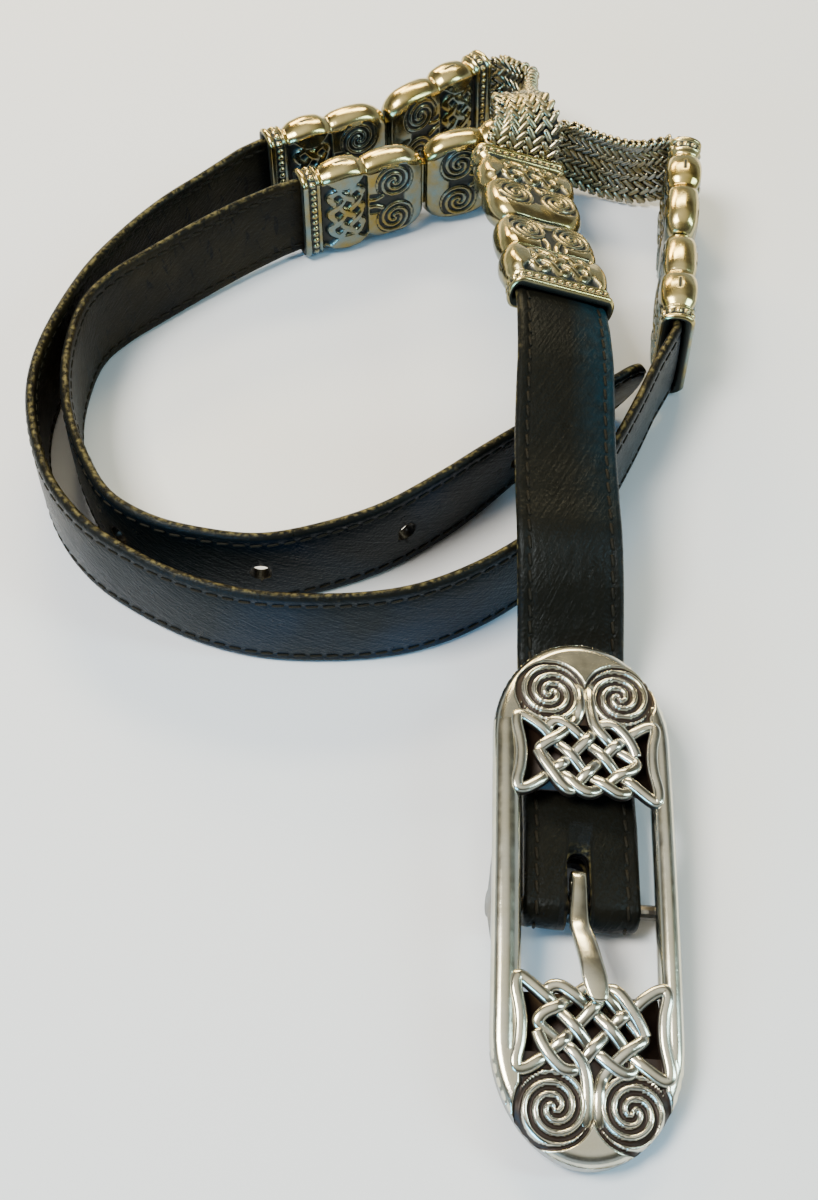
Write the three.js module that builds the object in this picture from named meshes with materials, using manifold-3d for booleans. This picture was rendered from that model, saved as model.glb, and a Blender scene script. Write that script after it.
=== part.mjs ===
// Leather belt with cast end caps, two metal mesh bands and a round-ended buckle, lying coiled.
// Millimetres, +Z up. Two straps stand on their lower edges, the buckle end lies over them.
import * as THREE from "three";
import { mergeVertices } from "three/addons/utils/BufferGeometryUtils.js";
import Module from "manifold-3d";

const wasm = await Module();
wasm.setup();

// Driving dimensions
const STRAP_WIDTH = 20;
const STRAP_THICK = 2.3;
const STRAP_CHAMFER = 0.6;
const GAP = 0.3;
const TOLERANCE = 0.06;
const MESH_WIDTH = 17;
const MESH_THICK = 2.6;
const POCKET_DEPTH = 6;
const STRAP_IN_POCKET = 5;
const MOUTH_STRAIGHT = 1;
const HOLE_RADIUS = 2;
const HOLE_SPACING = 29.5;
const HOLE_COUNT = 5;
const FIRST_HOLE_FROM_TIP = 26;

// End caps: a row for each section, from the mouth to the rounded hinge end
const CAP_LENGTH = 30;
const HINGE_GAP = 1.0;
const CAP_SECTIONS = [
  { s: 0, half: 11.3, thick: 3.6 },
  { s: 1.3, half: 11.3, thick: 3.6 },
  { s: 1.7, half: 10.8, thick: 3.2 },
  { s: 3.5, half: 11.2, thick: 3.5 },
  { s: 4.8, half: 10.3, thick: 3.2 },
  { s: 7.0, half: 11.2, thick: 3.2 },
  { s: 10.8, half: 11.8, thick: 3.2 },
  { s: 14.4, half: 11.1, thick: 3.2 },
  { s: 16.0, half: 10.3, thick: 3.2 },
  { s: 18.0, half: 11.1, thick: 3.2 },
  { s: 25.2, half: 11.1, thick: 3.2 },
  { s: 28.4, half: 9.7, thick: 2.9 },
  { s: CAP_LENGTH, half: 7.8, thick: 2.3 },
];
const CAP_HALF = 11.8;
const CAP_CHAMFER = 1.4;
const PIN_RADIUS = 1.3;
const PIN_HALF = 5.5;

// Buckle, in its own frame: u across, v along towards the strap, w up
const BUCKLE = {
  halfWidth: 15.7,
  halfLength: 46,
  endLength: 20,
  windowHalf: 11.3,
  windowEnd: 30.2,
  thick: 2.2,
  bevel: 0.8,
  arch: 2.0,
};
const BUCKLE_KNOT = { along: 23.8, cell: 5.7, columns: 3, rows: 2, bar: 1.8, turn: 0.3, low: -1.1, high: 1.2 };
// Forked frame beside each knot: its outer corner and middle, and where its arms meet the knot
const KNOT_LUG = { corner: [12.7, 7.2], middle: [11.5, 0], root: [7.9, 4.9] };
const BAR_RADIUS = 1.3;
const BAR_ALONG = -2.6;
const BAR_DROP = 5.6;
const BAR_HALF = 15.2;
const EAR = { inner: 12.6, thick: 2.0, from: -18, to: 15, lobe: 2.8, splay: 0.15 };
const PRONG_LOOP = 3.1;
const PRONG_THICK = 1.4;
const PRONG_HALF_ROOT = 1.3;
// Prong from its curl on the bar to the tip, in the buckle's frame
const PRONG_PATH = [
  { u: -0.7, v: -1.2, w: -3.4, half: 1.3 },
  { u: -0.7, v: 0.9, w: -3.6, half: 1.3 },
  { u: -0.7, v: 2.0, w: -2.8, half: 1.3 },
  { u: -0.7, v: 1.5, w: -1.8, half: 1.3 },
  { u: -0.7, v: -0.4, w: -1.4, half: 1.3 },
  { u: -0.9, v: -4.4, w: -1.0, half: 1.5 },
  { u: -0.9, v: -7.4, w: -0.5, half: 1.7 },
  { u: -0.3, v: -10.6, w: 0.7, half: 1.9 },
  { u: 0.4, v: -14.4, w: 1.75, half: 2.0 },
  { u: 0.9, v: -17.4, w: 2.2, half: 2.1 },
  { u: 1.3, v: -20.0, w: 2.2, half: 1.7 },
  { u: 1.5, v: -21.2, w: 2.1, half: 0.9 },
];
const SLOT = { middle: -0.7, half: 1.9, from: -8, to: 5.8 };
const FOLD_RADIUS = BAR_RADIUS + GAP + STRAP_THICK / 2;
const RETURN_LENGTH = 22;

// Routes. lift is the height of the lower edge, lean tips the top edge outwards (degrees)
const STRAP_BACK_ROUTE = [
  { x: -33.6, y: 93.4, lift: 1.6, lean: 0 },
  { x: -41.9, y: 85.2, lift: 1.0, lean: 0 },
  { x: -50.2, y: 77.1, lift: 0.5, lean: 0 },
  { x: -58.0, y: 66.9, lift: 0.1, lean: 0 },
  { x: -65.1, y: 53.9, lift: 0, lean: 0 },
  { x: -70.6, y: 36.0, lift: 0, lean: 0 },
  { x: -72.1, y: 21.6, lift: 0, lean: 0 },
  { x: -70.0, y: 8.0, lift: 0, lean: 0 },
  { x: -65.0, y: -5.4, lift: 0, lean: 0 },
  { x: -57.5, y: -15.9, lift: 0, lean: 0 },
  { x: -48.2, y: -23.5, lift: 0, lean: 0 },
  { x: -36.6, y: -30.1, lift: 0, lean: 0 },
  { x: -24.0, y: -34.0, lift: 0, lean: 0 },
  { x: -10.0, y: -34.9, lift: 0, lean: 0 },
  { x: 3.2, y: -33.5, lift: 0, lean: 0 },
  { x: 14.3, y: -29.3, lift: 0, lean: 0 },
  { x: 25.3, y: -22.2, lift: 0, lean: 0 },
  { x: 34.4, y: -13.4, lift: 0, lean: 0 },
  { x: 43.0, y: -1.4, lift: 0, lean: 0 },
  { x: 50.6, y: 13.4, lift: 0.3, lean: 0 },
  { x: 56.4, y: 26.0, lift: 1.2, lean: 0 },
];
const STRAP_TIP_ROUTE = [
  { x: -25.2, y: 79.6, lift: 1.6, lean: 2 },
  { x: -33.6, y: 74.2, lift: 1.0, lean: 4 },
  { x: -42.3, y: 67.5, lift: 0.5, lean: 5 },
  { x: -50.6, y: 60.4, lift: 0.1, lean: 5 },
  { x: -58.6, y: 52.7, lift: 0, lean: 4 },
  { x: -63.6, y: 45.0, lift: 0, lean: 2 },
  { x: -65.5, y: 35.0, lift: 0, lean: 1 },
  { x: -65.6, y: 24.0, lift: 0, lean: 0 },
  { x: -63.4, y: 12.0, lift: 0, lean: 0 },
  { x: -59.0, y: 0.6, lift: 0, lean: 0 },
  { x: -53.3, y: -9.3, lift: 0, lean: 0 },
  { x: -44.8, y: -15.6, lift: 0, lean: 0 },
  { x: -34.8, y: -19.0, lift: 0, lean: 0 },
  { x: -23.1, y: -20.5, lift: 0, lean: 0 },
  { x: -11.5, y: -17.9, lift: 0, lean: 0 },
  { x: 0.1, y: -12.9, lift: 0, lean: 0 },
  { x: 11.0, y: -5.2, lift: 0, lean: 0 },
  { x: 19.6, y: 2.2, lift: 0, lean: 2 },
  { x: 28.5, y: 10.2, lift: 0, lean: 8 },
  { x: 38.0, y: 17.6, lift: 0, lean: 14 },
  { x: 46.6, y: 24.9, lift: 0, lean: 18 },
];
// Front strap, face up: roll tips its right edge down (degrees)
const STRAP_FRONT_ROUTE = [
  { x: 36.1, y: 26.5, z: 30.1, roll: 18 },
  { x: 36.0, y: 17.0, z: 29.4, roll: 15 },
  { x: 35.5, y: 7.0, z: 27.2, roll: 12 },
  { x: 35.1, y: -3.0, z: 24.8, roll: 9 },
  { x: 35.0, y: -13.0, z: 23.2, roll: 7 },
  { x: 35.0, y: -22.0, z: 21.9, roll: 6 },
  { x: 35.0, y: -29.5, z: 18.2, roll: 6 },
  { x: 35.0, y: -36.0, z: 13.2, roll: 6 },
  { x: 34.9, y: -42.5, z: 9.3, roll: 6 },
  { x: 34.8, y: -52.0, z: 8.3, roll: 6 },
  { x: 34.7, y: -64.0, z: 8.2, roll: 6 },
  { x: 34.6, y: -76.0, z: 8.3, roll: 6 },
];
// Mesh band that climbs over the inner caps: its left edge (a) and right edge (b)
const MESH_FRONT_EDGES = [
  { ax: 22.7, ay: 93.6, az: 22.8, bx: 39.2, by: 94.6, bz: 17.6 },
  { ax: 24.0, ay: 96.6, az: 25.4, bx: 40.2, by: 97.2, bz: 22.4 },
  { ax: 24.6, ay: 101.0, az: 26.9, bx: 39.0, by: 100.4, bz: 26.0 },
  { ax: 24.4, ay: 106.0, az: 26.4, bx: 36.6, by: 104.8, bz: 26.4 },
  { ax: 25.0, ay: 111.5, az: 19.5, bx: 34.6, by: 110.6, bz: 25.2 },
  { ax: 27.6, ay: 117.5, az: 9.5, bx: 33.9, by: 117.4, bz: 23.6 },
  { ax: 31.0, ay: 123.6, az: 4.6, bx: 33.6, by: 122.8, bz: 21.8 },
  { ax: 28.6, ay: 129.8, az: 3.3, bx: 29.2, by: 129.6, bz: 20.4 },
];
const MESH_BACK_ROUTE = [
  { x: 40.8, y: 105.7, lift: 2.8 },
  { x: 45.2, y: 105.3, lift: 1.8 },
  { x: 51.5, y: 102.6, lift: 1.0 },
  { x: 58.5, y: 100.2, lift: 1.0 },
  { x: 63.8, y: 99.9, lift: 2.0 },
  { x: 67.9, y: 100.4, lift: 2.9 },
];
// Cap pairs: the mouth that holds the strap, the way from it to the hinge, and on past the hinge
const CAP_PAIRS = {
  outer: { x: -28.5, y: 96.7, z: CAP_HALF, first: 25.4, second: 38 },
  inner: { x: -20.2, y: 82.0, z: CAP_HALF, first: 23.3, second: 19.5 },
  right: { x: 61.0, y: 35.4, z: CAP_HALF, first: 82.5, second: 82.5 },
};
const FRONT_PAIR = { x: 35.9, y: 32.4, z: 29.5, heading: 95.7, slope: -11.3, roll: 20 };
const BUCKLE_PLACE = { x: 34.4, y: -88, z: 10.9, yaw: -2.2, pitch: 6, roll: 6 };

const leather = { color: 0x14161a, roughness: 0.38, metalness: 0 };
const silver = { color: 0x9c927c, roughness: 0.32, metalness: 1 };
const bright = { color: 0xc9c1a8, roughness: 0.22, metalness: 1 };
const Z = new THREE.Vector3(0, 0, 1);
const deg = THREE.MathUtils.degToRad;

// Closed surface through rings with the same number of points
function loft(rings) {
  const n = rings[0].length;
  const points = rings.flat().flatMap((p) => [p.x, p.y, p.z]);
  const index = [];
  for (let r = 0; r + 1 < rings.length; r++) {
    for (let i = 0; i < n; i++) {
      const a = r * n + i;
      const b = r * n + ((i + 1) % n);
      index.push(a, b, a + n, b, b + n, a + n);
    }
  }
  const last = (rings.length - 1) * n;
  for (let i = 1; i + 1 < n; i++) {
    index.push(0, i + 1, i, last, last + i, last + i + 1);
  }
  const geometry = new THREE.BufferGeometry();
  geometry.setAttribute("position", new THREE.Float32BufferAttribute(points, 3));
  geometry.setIndex(index);
  return geometry;
}

// Rectangle in the plane of two directions, its corners cut where cut isn't zero
function section(centre, across, normal, half, thick, cut) {
  const square = [
    [half, -thick],
    [half, thick],
    [-half, thick],
    [-half, -thick],
  ];
  const eight = [
    [half, -thick + cut],
    [half, thick - cut],
    [half - cut, thick],
    [-half + cut, thick],
    [-half, thick - cut],
    [-half, -thick + cut],
    [-half + cut, -thick],
    [half - cut, -thick],
  ];
  return (cut > 0 ? eight : square).map(([a, b]) =>
    centre.clone().addScaledVector(across, a).addScaledVector(normal, b),
  );
}

// Band with a cut-corner section along stations of centre, across, half and thick
function band(stations, cut) {
  const rings = stations.map((station, i) => {
    const before = stations[Math.max(i - 1, 0)].centre;
    const after = stations[Math.min(i + 1, stations.length - 1)].centre;
    const ahead = after.clone().sub(before).normalize();
    const normal = new THREE.Vector3().crossVectors(ahead, station.across).normalize();
    const across = new THREE.Vector3().crossVectors(normal, ahead);
    return section(station.centre, across, normal, station.half, station.thick, cut);
  });
  return loft(rings);
}

// Smooth samples of the numbers in a table's rows, with steps samples a row
function smooth(rows, names, steps) {
  const groups = [];
  for (let i = 0; i < names.length; i += 3) {
    const three = names.slice(i, i + 3);
    const knots = rows.map((row) => new THREE.Vector3(...three.map((k) => row[k] ?? 0)));
    groups.push({ three, curve: new THREE.CatmullRomCurve3(knots, false, "catmullrom", 0.5) });
  }
  const count = (rows.length - 1) * steps;
  return Array.from({ length: count + 1 }, (_, j) => {
    const out = {};
    for (const { three, curve } of groups) {
      const p = curve.getPoint(j / count).toArray();
      three.forEach((k, i) => (out[k] = p[i]));
    }
    return out;
  });
}

function toSolid(geometry) {
  let g = geometry.index ? geometry : geometry.clone();
  g.deleteAttribute("normal");
  g.deleteAttribute("uv");
  g = mergeVertices(g, 1e-4);
  const mesh = new wasm.Mesh({
    numProp: 3,
    vertProperties: new Float32Array(g.attributes.position.array),
    triVerts: new Uint32Array(g.index.array),
  });
  return new wasm.Manifold(mesh);
}

function toGeometry(solid) {
  const mesh = solid.simplify(TOLERANCE).getMesh();
  const points = new Float32Array(mesh.numVert * 3);
  for (let i = 0; i < mesh.numVert; i++) {
    points.set(mesh.vertProperties.subarray(i * mesh.numProp, i * mesh.numProp + 3), i * 3);
  }
  const geometry = new THREE.BufferGeometry();
  geometry.setAttribute("position", new THREE.BufferAttribute(points, 3));
  geometry.setIndex(new THREE.BufferAttribute(mesh.triVerts, 1));
  return geometry;
}

function join(pieces) {
  return pieces.reduce((sum, piece) => sum.add(toSolid(piece)), toSolid(pieces[0]));
}

function box(sizeX, sizeY, sizeZ, x, y, z) {
  return new THREE.BoxGeometry(sizeX, sizeY, sizeZ).translate(x, y, z);
}

function cylinderAlong(axis, radius, length, sides) {
  const g = new THREE.CylinderGeometry(radius, radius, length, sides);
  if (axis === "x") g.rotateZ(Math.PI / 2);
  if (axis === "z") g.rotateX(Math.PI / 2);
  return g;
}

// Flat bar between two points, as a closed box
function flatBar(a, b, width, low, high) {
  const length = Math.hypot(b[0] - a[0], b[1] - a[1]);
  const g = new THREE.BoxGeometry(length, width, high - low);
  g.rotateZ(Math.atan2(b[1] - a[1], b[0] - a[0]));
  return g.translate((a[0] + b[0]) / 2, (a[1] + b[1]) / 2, (low + high) / 2);
}

// One cap: x from the mouth to the hinge end, y its thickness, z across
function capGeometry(pocketThick, pocketWidth) {
  const across = new THREE.Vector3(0, 0, 1);
  const normal = new THREE.Vector3(0, -1, 0);
  const rings = CAP_SECTIONS.map(({ s, half, thick }) =>
    section(new THREE.Vector3(s, 0, 0), across, normal, half, thick, CAP_CHAMFER),
  );
  const pieces = [loft(rings)];
  const pocket = box(POCKET_DEPTH * 2, pocketThick + 2 * GAP, pocketWidth + 2 * GAP, 0, 0, 0);
  const hinge = cylinderAlong("z", PIN_RADIUS + 1.5 * GAP, 4 * PIN_HALF, 8);
  hinge.translate(CAP_LENGTH + HINGE_GAP / 2, 0, 0);
  return toGeometry(join(pieces).subtract(toSolid(pocket)).subtract(toSolid(hinge)));
}

// Placement whose x runs along, z across
function placement(origin, along, across) {
  const thickness = new THREE.Vector3().crossVectors(across, along);
  return new THREE.Matrix4().makeBasis(along, thickness, across).setPosition(origin);
}

// Frames of both caps and the pin of one pair
function pairFrames(mouth, first, second, acrossFirst, acrossSecond) {
  const pin = mouth.clone().addScaledVector(first, CAP_LENGTH + HINGE_GAP / 2);
  const farMouth = pin.clone().addScaledVector(second, CAP_LENGTH + HINGE_GAP / 2);
  return {
    mouth,
    first,
    acrossFirst,
    farMouth,
    second,
    acrossSecond,
    strapCap: placement(mouth, first, acrossFirst),
    meshCap: placement(farMouth, second.clone().negate(), acrossSecond),
    pin: placement(pin, first, acrossFirst),
  };
}

function standingPair({ x, y, z, first, second }) {
  const way = (angle) => new THREE.Vector3(Math.cos(deg(angle)), Math.sin(deg(angle)), 0);
  return pairFrames(new THREE.Vector3(x, y, z), way(first), way(second), Z, Z);
}

function frontPair({ x, y, z, heading, slope, roll }) {
  const along = new THREE.Vector3(
    Math.cos(deg(heading)) * Math.cos(deg(slope)),
    Math.sin(deg(heading)) * Math.cos(deg(slope)),
    Math.sin(deg(slope)),
  );
  const right = new THREE.Vector3().crossVectors(along, Z).normalize();
  const across = right.clone().applyAxisAngle(along, deg(roll));
  return pairFrames(new THREE.Vector3(x, y, z), along, along, across, across);
}

const pairs = {
  outer: standingPair(CAP_PAIRS.outer),
  inner: standingPair(CAP_PAIRS.inner),
  right: standingPair(CAP_PAIRS.right),
  front: frontPair(FRONT_PAIR),
};

// Station just inside a mouth, or at it, of a strap or mesh end
function endStation(mouth, inward, depth, across, half, thick) {
  return { centre: mouth.clone().addScaledVector(inward, depth), across, half, thick };
}

function capEnd(mouth, inward, across, half, thick, mouthFirst) {
  const inside = endStation(mouth, inward, STRAP_IN_POCKET, across, half, thick);
  const outside = endStation(mouth, inward, -MOUTH_STRAIGHT, across, half, thick);
  return mouthFirst ? [outside, inside] : [inside, outside];
}

// Stations of a strap that stands on its edge
function standing(rows, half, thick, steps) {
  return smooth(rows, ["x", "y", "lift", "lean"], steps).map((row, i, all) => {
    const a = all[Math.max(i - 1, 0)];
    const b = all[Math.min(i + 1, all.length - 1)];
    const ahead = new THREE.Vector3(b.x - a.x, b.y - a.y, 0).normalize();
    const outward = new THREE.Vector3().crossVectors(ahead, Z);
    const lean = deg(row.lean ?? 0);
    const across = Z.clone().multiplyScalar(Math.cos(lean));
    across.addScaledVector(outward, Math.sin(lean));
    const height = row.lift + half * Math.cos(lean) + thick * Math.sin(Math.abs(lean));
    return { centre: new THREE.Vector3(row.x, row.y, height), across, half, thick };
  });
}

const halfStrap = STRAP_WIDTH / 2;
const halfThick = STRAP_THICK / 2;

// Outer loop of the coil, from the outer caps round to the right caps
function strapBack() {
  const { outer, right } = pairs;
  const stations = [
    ...capEnd(outer.mouth, outer.first, Z, halfStrap, halfThick, false),
    ...standing(STRAP_BACK_ROUTE, halfStrap, halfThick, 2),
    ...capEnd(right.mouth, right.first, Z, halfStrap, halfThick, true),
  ];
  return toGeometry(toSolid(band(stations, STRAP_CHAMFER)));
}

// Inner loop, from the inner caps to the rounded, punched tip
function strapTip() {
  const { inner } = pairs;
  const stations = [
    ...capEnd(inner.mouth, inner.first, Z, halfStrap, halfThick, false),
    ...standing(STRAP_TIP_ROUTE, halfStrap, halfThick, 2),
  ];
  const last = stations.length - 1;
  const tip = stations[last];
  const before = stations[last - 1];
  const ahead = tip.centre.clone().sub(before.centre).normalize();
  for (const angle of [30, 55, 75]) {
    const reach = halfStrap * Math.sin(deg(angle));
    const half = halfStrap * Math.cos(deg(angle));
    const centre = tip.centre.clone().addScaledVector(ahead, reach);
    stations.push({ centre, across: tip.across, half, thick: halfThick });
  }
  let solid = toSolid(band(stations, STRAP_CHAMFER));
  let walked = 0;
  let next = FIRST_HOLE_FROM_TIP;
  let made = 0;
  for (let i = last; i > 0 && made < HOLE_COUNT; i--) {
    const from = stations[i].centre;
    const to = stations[i - 1].centre;
    const length = from.distanceTo(to);
    while (made < HOLE_COUNT && walked + length > next) {
      const centre = from.clone().lerp(to, (next - walked) / length);
      const ahead = to.clone().sub(from).normalize();
      const hole = cylinderAlong("y", HOLE_RADIUS, 4 * STRAP_THICK, 8);
      hole.applyMatrix4(placement(centre, ahead, Z));
      solid = solid.subtract(toSolid(hole));
      next += HOLE_SPACING;
      made += 1;
    }
    walked += length;
  }
  return toGeometry(solid);
}

// Matrix of the buckle's own frame
const buckleMatrix = new THREE.Matrix4()
  .makeRotationZ(deg(BUCKLE_PLACE.yaw))
  .multiply(new THREE.Matrix4().makeRotationX(deg(BUCKLE_PLACE.pitch)))
  .multiply(new THREE.Matrix4().makeRotationY(deg(BUCKLE_PLACE.roll)))
  .setPosition(BUCKLE_PLACE.x, BUCKLE_PLACE.y, BUCKLE_PLACE.z);
const inBuckle = (u, v, w) => new THREE.Vector3(u, v, w).applyMatrix4(buckleMatrix);
const buckleAcross = new THREE.Vector3(1, 0, 0).transformDirection(buckleMatrix);

// Front strap: face up from its cap to the bar, round the bar and back beneath itself
function strapFront() {
  const { front } = pairs;
  const stations = capEnd(
    front.mouth, front.first, front.acrossFirst, halfStrap, halfThick, false,
  );
  for (const row of smooth(STRAP_FRONT_ROUTE, ["x", "y", "z", "roll"], 2)) {
    const across = new THREE.Vector3(1, 0, 0).applyAxisAngle(new THREE.Vector3(0, 1, 0), deg(row.roll));
    stations.push({ centre: new THREE.Vector3(row.x, row.y, row.z), across, half: halfStrap, thick: halfThick });
  }
  const fold = [];
  for (const angle of [90, 120, 150, 180, 210, 240, 270]) {
    fold.push([BAR_ALONG + FOLD_RADIUS * Math.cos(deg(angle)), FOLD_RADIUS * Math.sin(deg(angle))]);
  }
  const layers = STRAP_THICK + GAP;
  fold.push([RETURN_LENGTH * 0.3, -FOLD_RADIUS + 0.8]);
  fold.push([RETURN_LENGTH * 0.65, FOLD_RADIUS - layers - 1.5]);
  fold.push([RETURN_LENGTH, FOLD_RADIUS - layers - 1.5]);
  for (const [v, w] of fold) {
    stations.push({ centre: inBuckle(0, v, w - BAR_DROP), across: buckleAcross, half: halfStrap, thick: halfThick });
  }
  const { middle, half, from, to } = SLOT;
  const slot = box(2 * half, to - from, 14, middle, (to + from) / 2, -BAR_DROP);
  slot.applyMatrix4(buckleMatrix);
  return toGeometry(toSolid(band(stations, STRAP_CHAMFER)).subtract(toSolid(slot)));
}

// Mesh band between the inner and the right caps, standing on edge
function meshBack() {
  const { inner, right } = pairs;
  const half = MESH_WIDTH / 2;
  const thick = MESH_THICK / 2;
  const backInner = inner.second.clone().negate();
  const backRight = right.second.clone().negate();
  const stations = [
    ...capEnd(inner.farMouth, backInner, Z, half, thick, false),
    ...standing(MESH_BACK_ROUTE, half, thick, 2),
    ...capEnd(right.farMouth, backRight, Z, half, thick, true),
  ];
  return band(stations, 0);
}

// Mesh band from the front caps, over the inner caps, down to the outer caps
function meshFront() {
  const { front, outer } = pairs;
  const half = MESH_WIDTH / 2;
  const thick = MESH_THICK / 2;
  const backFront = front.second.clone().negate();
  const backOuter = outer.second.clone().negate();
  const names = ["ax", "ay", "az", "bx", "by", "bz"];
  const middle = smooth(MESH_FRONT_EDGES, names, 2).map((row) => {
    const a = new THREE.Vector3(row.ax, row.ay, row.az);
    const b = new THREE.Vector3(row.bx, row.by, row.bz);
    const across = b.clone().sub(a).normalize();
    return { centre: a.clone().lerp(b, 0.5), across, half: a.distanceTo(b) / 2, thick };
  });
  const stations = [
    ...capEnd(front.farMouth, backFront, front.acrossSecond, half, thick, false),
    ...middle,
    ...capEnd(outer.farMouth, backOuter, Z, half, thick, true),
  ];
  return band(stations, 0);
}

// Round-ended outline of the buckle
function buckleOutline(halfWidth, halfLength, endLength, steps) {
  const points = [];
  for (const way of [1, -1]) {
    for (let i = 0; i <= steps; i++) {
      const angle = (Math.PI * i) / steps;
      const v = halfLength - endLength + endLength * Math.sin(angle);
      points.push(new THREE.Vector2(way * halfWidth * Math.cos(angle), way * v));
    }
  }
  return points;
}

// Ring-shaped plate of the buckle with one long opening, rounded on top by a bevel
function bucklePlate() {
  const { halfWidth, halfLength, endLength, windowHalf, windowEnd, thick, bevel } = BUCKLE;
  const outline = buckleOutline(halfWidth - bevel, halfLength - bevel, endLength - bevel, 14);
  const shape = new THREE.Shape(outline);
  const corners = [
    [-windowHalf - bevel, -windowEnd],
    [-windowHalf - bevel, windowEnd],
    [windowHalf + bevel, windowEnd],
    [windowHalf + bevel, -windowEnd],
  ];
  shape.holes.push(new THREE.Path(corners.map(([u, v]) => new THREE.Vector2(u, v))));
  const plate = new THREE.ExtrudeGeometry(shape, {
    depth: thick,
    bevelThickness: bevel,
    bevelSize: bevel,
    bevelSegments: 2,
    curveSegments: 1,
  });
  return plate.translate(0, 0, -thick / 2);
}

// Straight runs of a plait that turns back at the panel's edges, as pairs of points
function plaitRuns({ cell, columns, rows, turn }) {
  const wide = columns * cell;
  const high = rows * cell;
  const runs = [];
  let [x, y, dx, dy] = [0, cell / 2, 1, 1];
  for (let i = 0; i < 2 * (columns + rows); i++) {
    const toX = dx > 0 ? wide - x : x;
    const toY = dy > 0 ? high - y : y;
    const reach = Math.min(toX, toY);
    const end = [x + dx * reach, y + dy * reach];
    const cut = turn * cell * 0.5;
    runs.push([[x + dx * cut, y + dy * cut], [end[0] - dx * cut, end[1] - dy * cut]]);
    if (toX <= toY) dx = -dx;
    else dy = -dy;
    [x, y] = end;
  }
  return runs.map((run) => run.map(([px, py]) => [px - wide / 2, py - high / 2]));
}

// Pierced knot panel with its side frames, for the end on side way of the buckle
function buckleKnot(way) {
  const { along, bar, low, high } = BUCKLE_KNOT;
  const { corner, middle, root } = KNOT_LUG;
  const runs = plaitRuns(BUCKLE_KNOT);
  const bars = runs.map(([a, b]) => [a, b]);
  runs.forEach(([, b], i) => bars.push([b, runs[(i + 1) % runs.length][0]]));
  for (const side of [-1, 1]) {
    const at = ([u, v], end) => [side * u, end * v];
    for (const end of [-1, 1]) {
      bars.push([at(corner, end), at(middle, end)], [at(corner, end), at(root, end)]);
    }
  }
  return bars.map(([a, b]) =>
    flatBar([a[0], way * (along + a[1])], [b[0], way * (along + b[1])], bar, low, high),
  );
}

// Triangular ear under a rail, with a round lobe for the bar
function ear(side) {
  const { inner, thick, from, to, lobe } = EAR;
  const shape = new THREE.Shape();
  shape.moveTo(from, -0.6);
  for (const angle of [205, 240, 270, 300, 335]) {
    shape.lineTo(BAR_ALONG + lobe * Math.cos(deg(angle)), -BAR_DROP + lobe * Math.sin(deg(angle)));
  }
  shape.lineTo(to, -0.6);
  shape.closePath();
  const g = new THREE.ExtrudeGeometry(shape, { depth: thick, bevelEnabled: false, curveSegments: 1 });
  g.applyMatrix4(new THREE.Matrix4().makeBasis(new THREE.Vector3(0, 1, 0), Z, new THREE.Vector3(1, 0, 0)));
  g.translate(side > 0 ? inner : -inner - thick, 0, 0);
  const position = g.attributes.position;
  for (let i = 0; i < position.count; i++) {
    const drop = -0.6 - position.getZ(i);
    position.setX(i, position.getX(i) + side * EAR.splay * drop);
  }
  return g;
}

// Lengthwise arch of everything on the buckle's plate
function archPoint(v) {
  return -BUCKLE.arch * (v / BUCKLE.halfLength) ** 2;
}

function buckleFrame() {
  let solid = join([
    bucklePlate(),
    ...buckleKnot(1),
    ...buckleKnot(-1),
    ear(1),
    ear(-1),
  ]);
  const bore = cylinderAlong("x", BAR_RADIUS + GAP, 40, 12).translate(0, BAR_ALONG, -BAR_DROP);
  solid = solid.subtract(toSolid(bore));
  const g = toGeometry(solid);
  const position = g.attributes.position;
  for (let i = 0; i < position.count; i++) {
    position.setZ(i, position.getZ(i) + archPoint(position.getY(i)));
  }
  return g.applyMatrix4(buckleMatrix);
}

function buckleBar() {
  const g = cylinderAlong("x", BAR_RADIUS, 2 * BAR_HALF, 12).translate(0, BAR_ALONG, -BAR_DROP);
  return g.applyMatrix4(buckleMatrix);
}

// Flat prong looped round the bar, humped over the fold and resting on the lower knot
function buckleProng() {
  const across = new THREE.Vector3(1, 0, 0);
  const stations = PRONG_PATH.map(({ u, v, w, half }) => ({
    centre: new THREE.Vector3(u, v, w),
    across,
    half,
    thick: PRONG_THICK / 2,
  }));
  const blade = band(stations, 0.3);
  const { u } = PRONG_PATH[0];
  const loop = cylinderAlong("x", PRONG_LOOP, 2 * PRONG_HALF_ROOT, 14).translate(u, BAR_ALONG, -BAR_DROP);
  const bore = cylinderAlong("x", BAR_RADIUS + GAP, 10, 12).translate(u, BAR_ALONG, -BAR_DROP);
  const solid = join([loop, blade]).subtract(toSolid(bore));
  return toGeometry(solid).applyMatrix4(buckleMatrix);
}

const belt = new THREE.Group();

function add(name, geometry, look, matrix) {
  const material = new THREE.MeshStandardMaterial(look);
  const mesh = new THREE.Mesh(geometry, material);
  mesh.name = name;
  if (matrix) mesh.applyMatrix4(matrix);
  belt.add(mesh);
}

add("strap_front", strapFront(), leather);
add("strap_back", strapBack(), leather);
add("strap_tip", strapTip(), leather);
add("mesh_front", meshFront(), silver);
add("mesh_back", meshBack(), silver);
for (const [name, frames] of Object.entries(pairs)) {
  add("strap_cap_" + name, capGeometry(STRAP_THICK, STRAP_WIDTH), silver, frames.strapCap);
  add("mesh_cap_" + name, capGeometry(MESH_THICK, MESH_WIDTH), silver, frames.meshCap);
  add("hinge_pin_" + name, cylinderAlong("z", PIN_RADIUS, 2 * PIN_HALF, 8), silver, frames.pin);
}
add("buckle_frame", buckleFrame(), bright);
add("buckle_bar", buckleBar(), bright);
add("buckle_prong", buckleProng(), bright);

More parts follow.
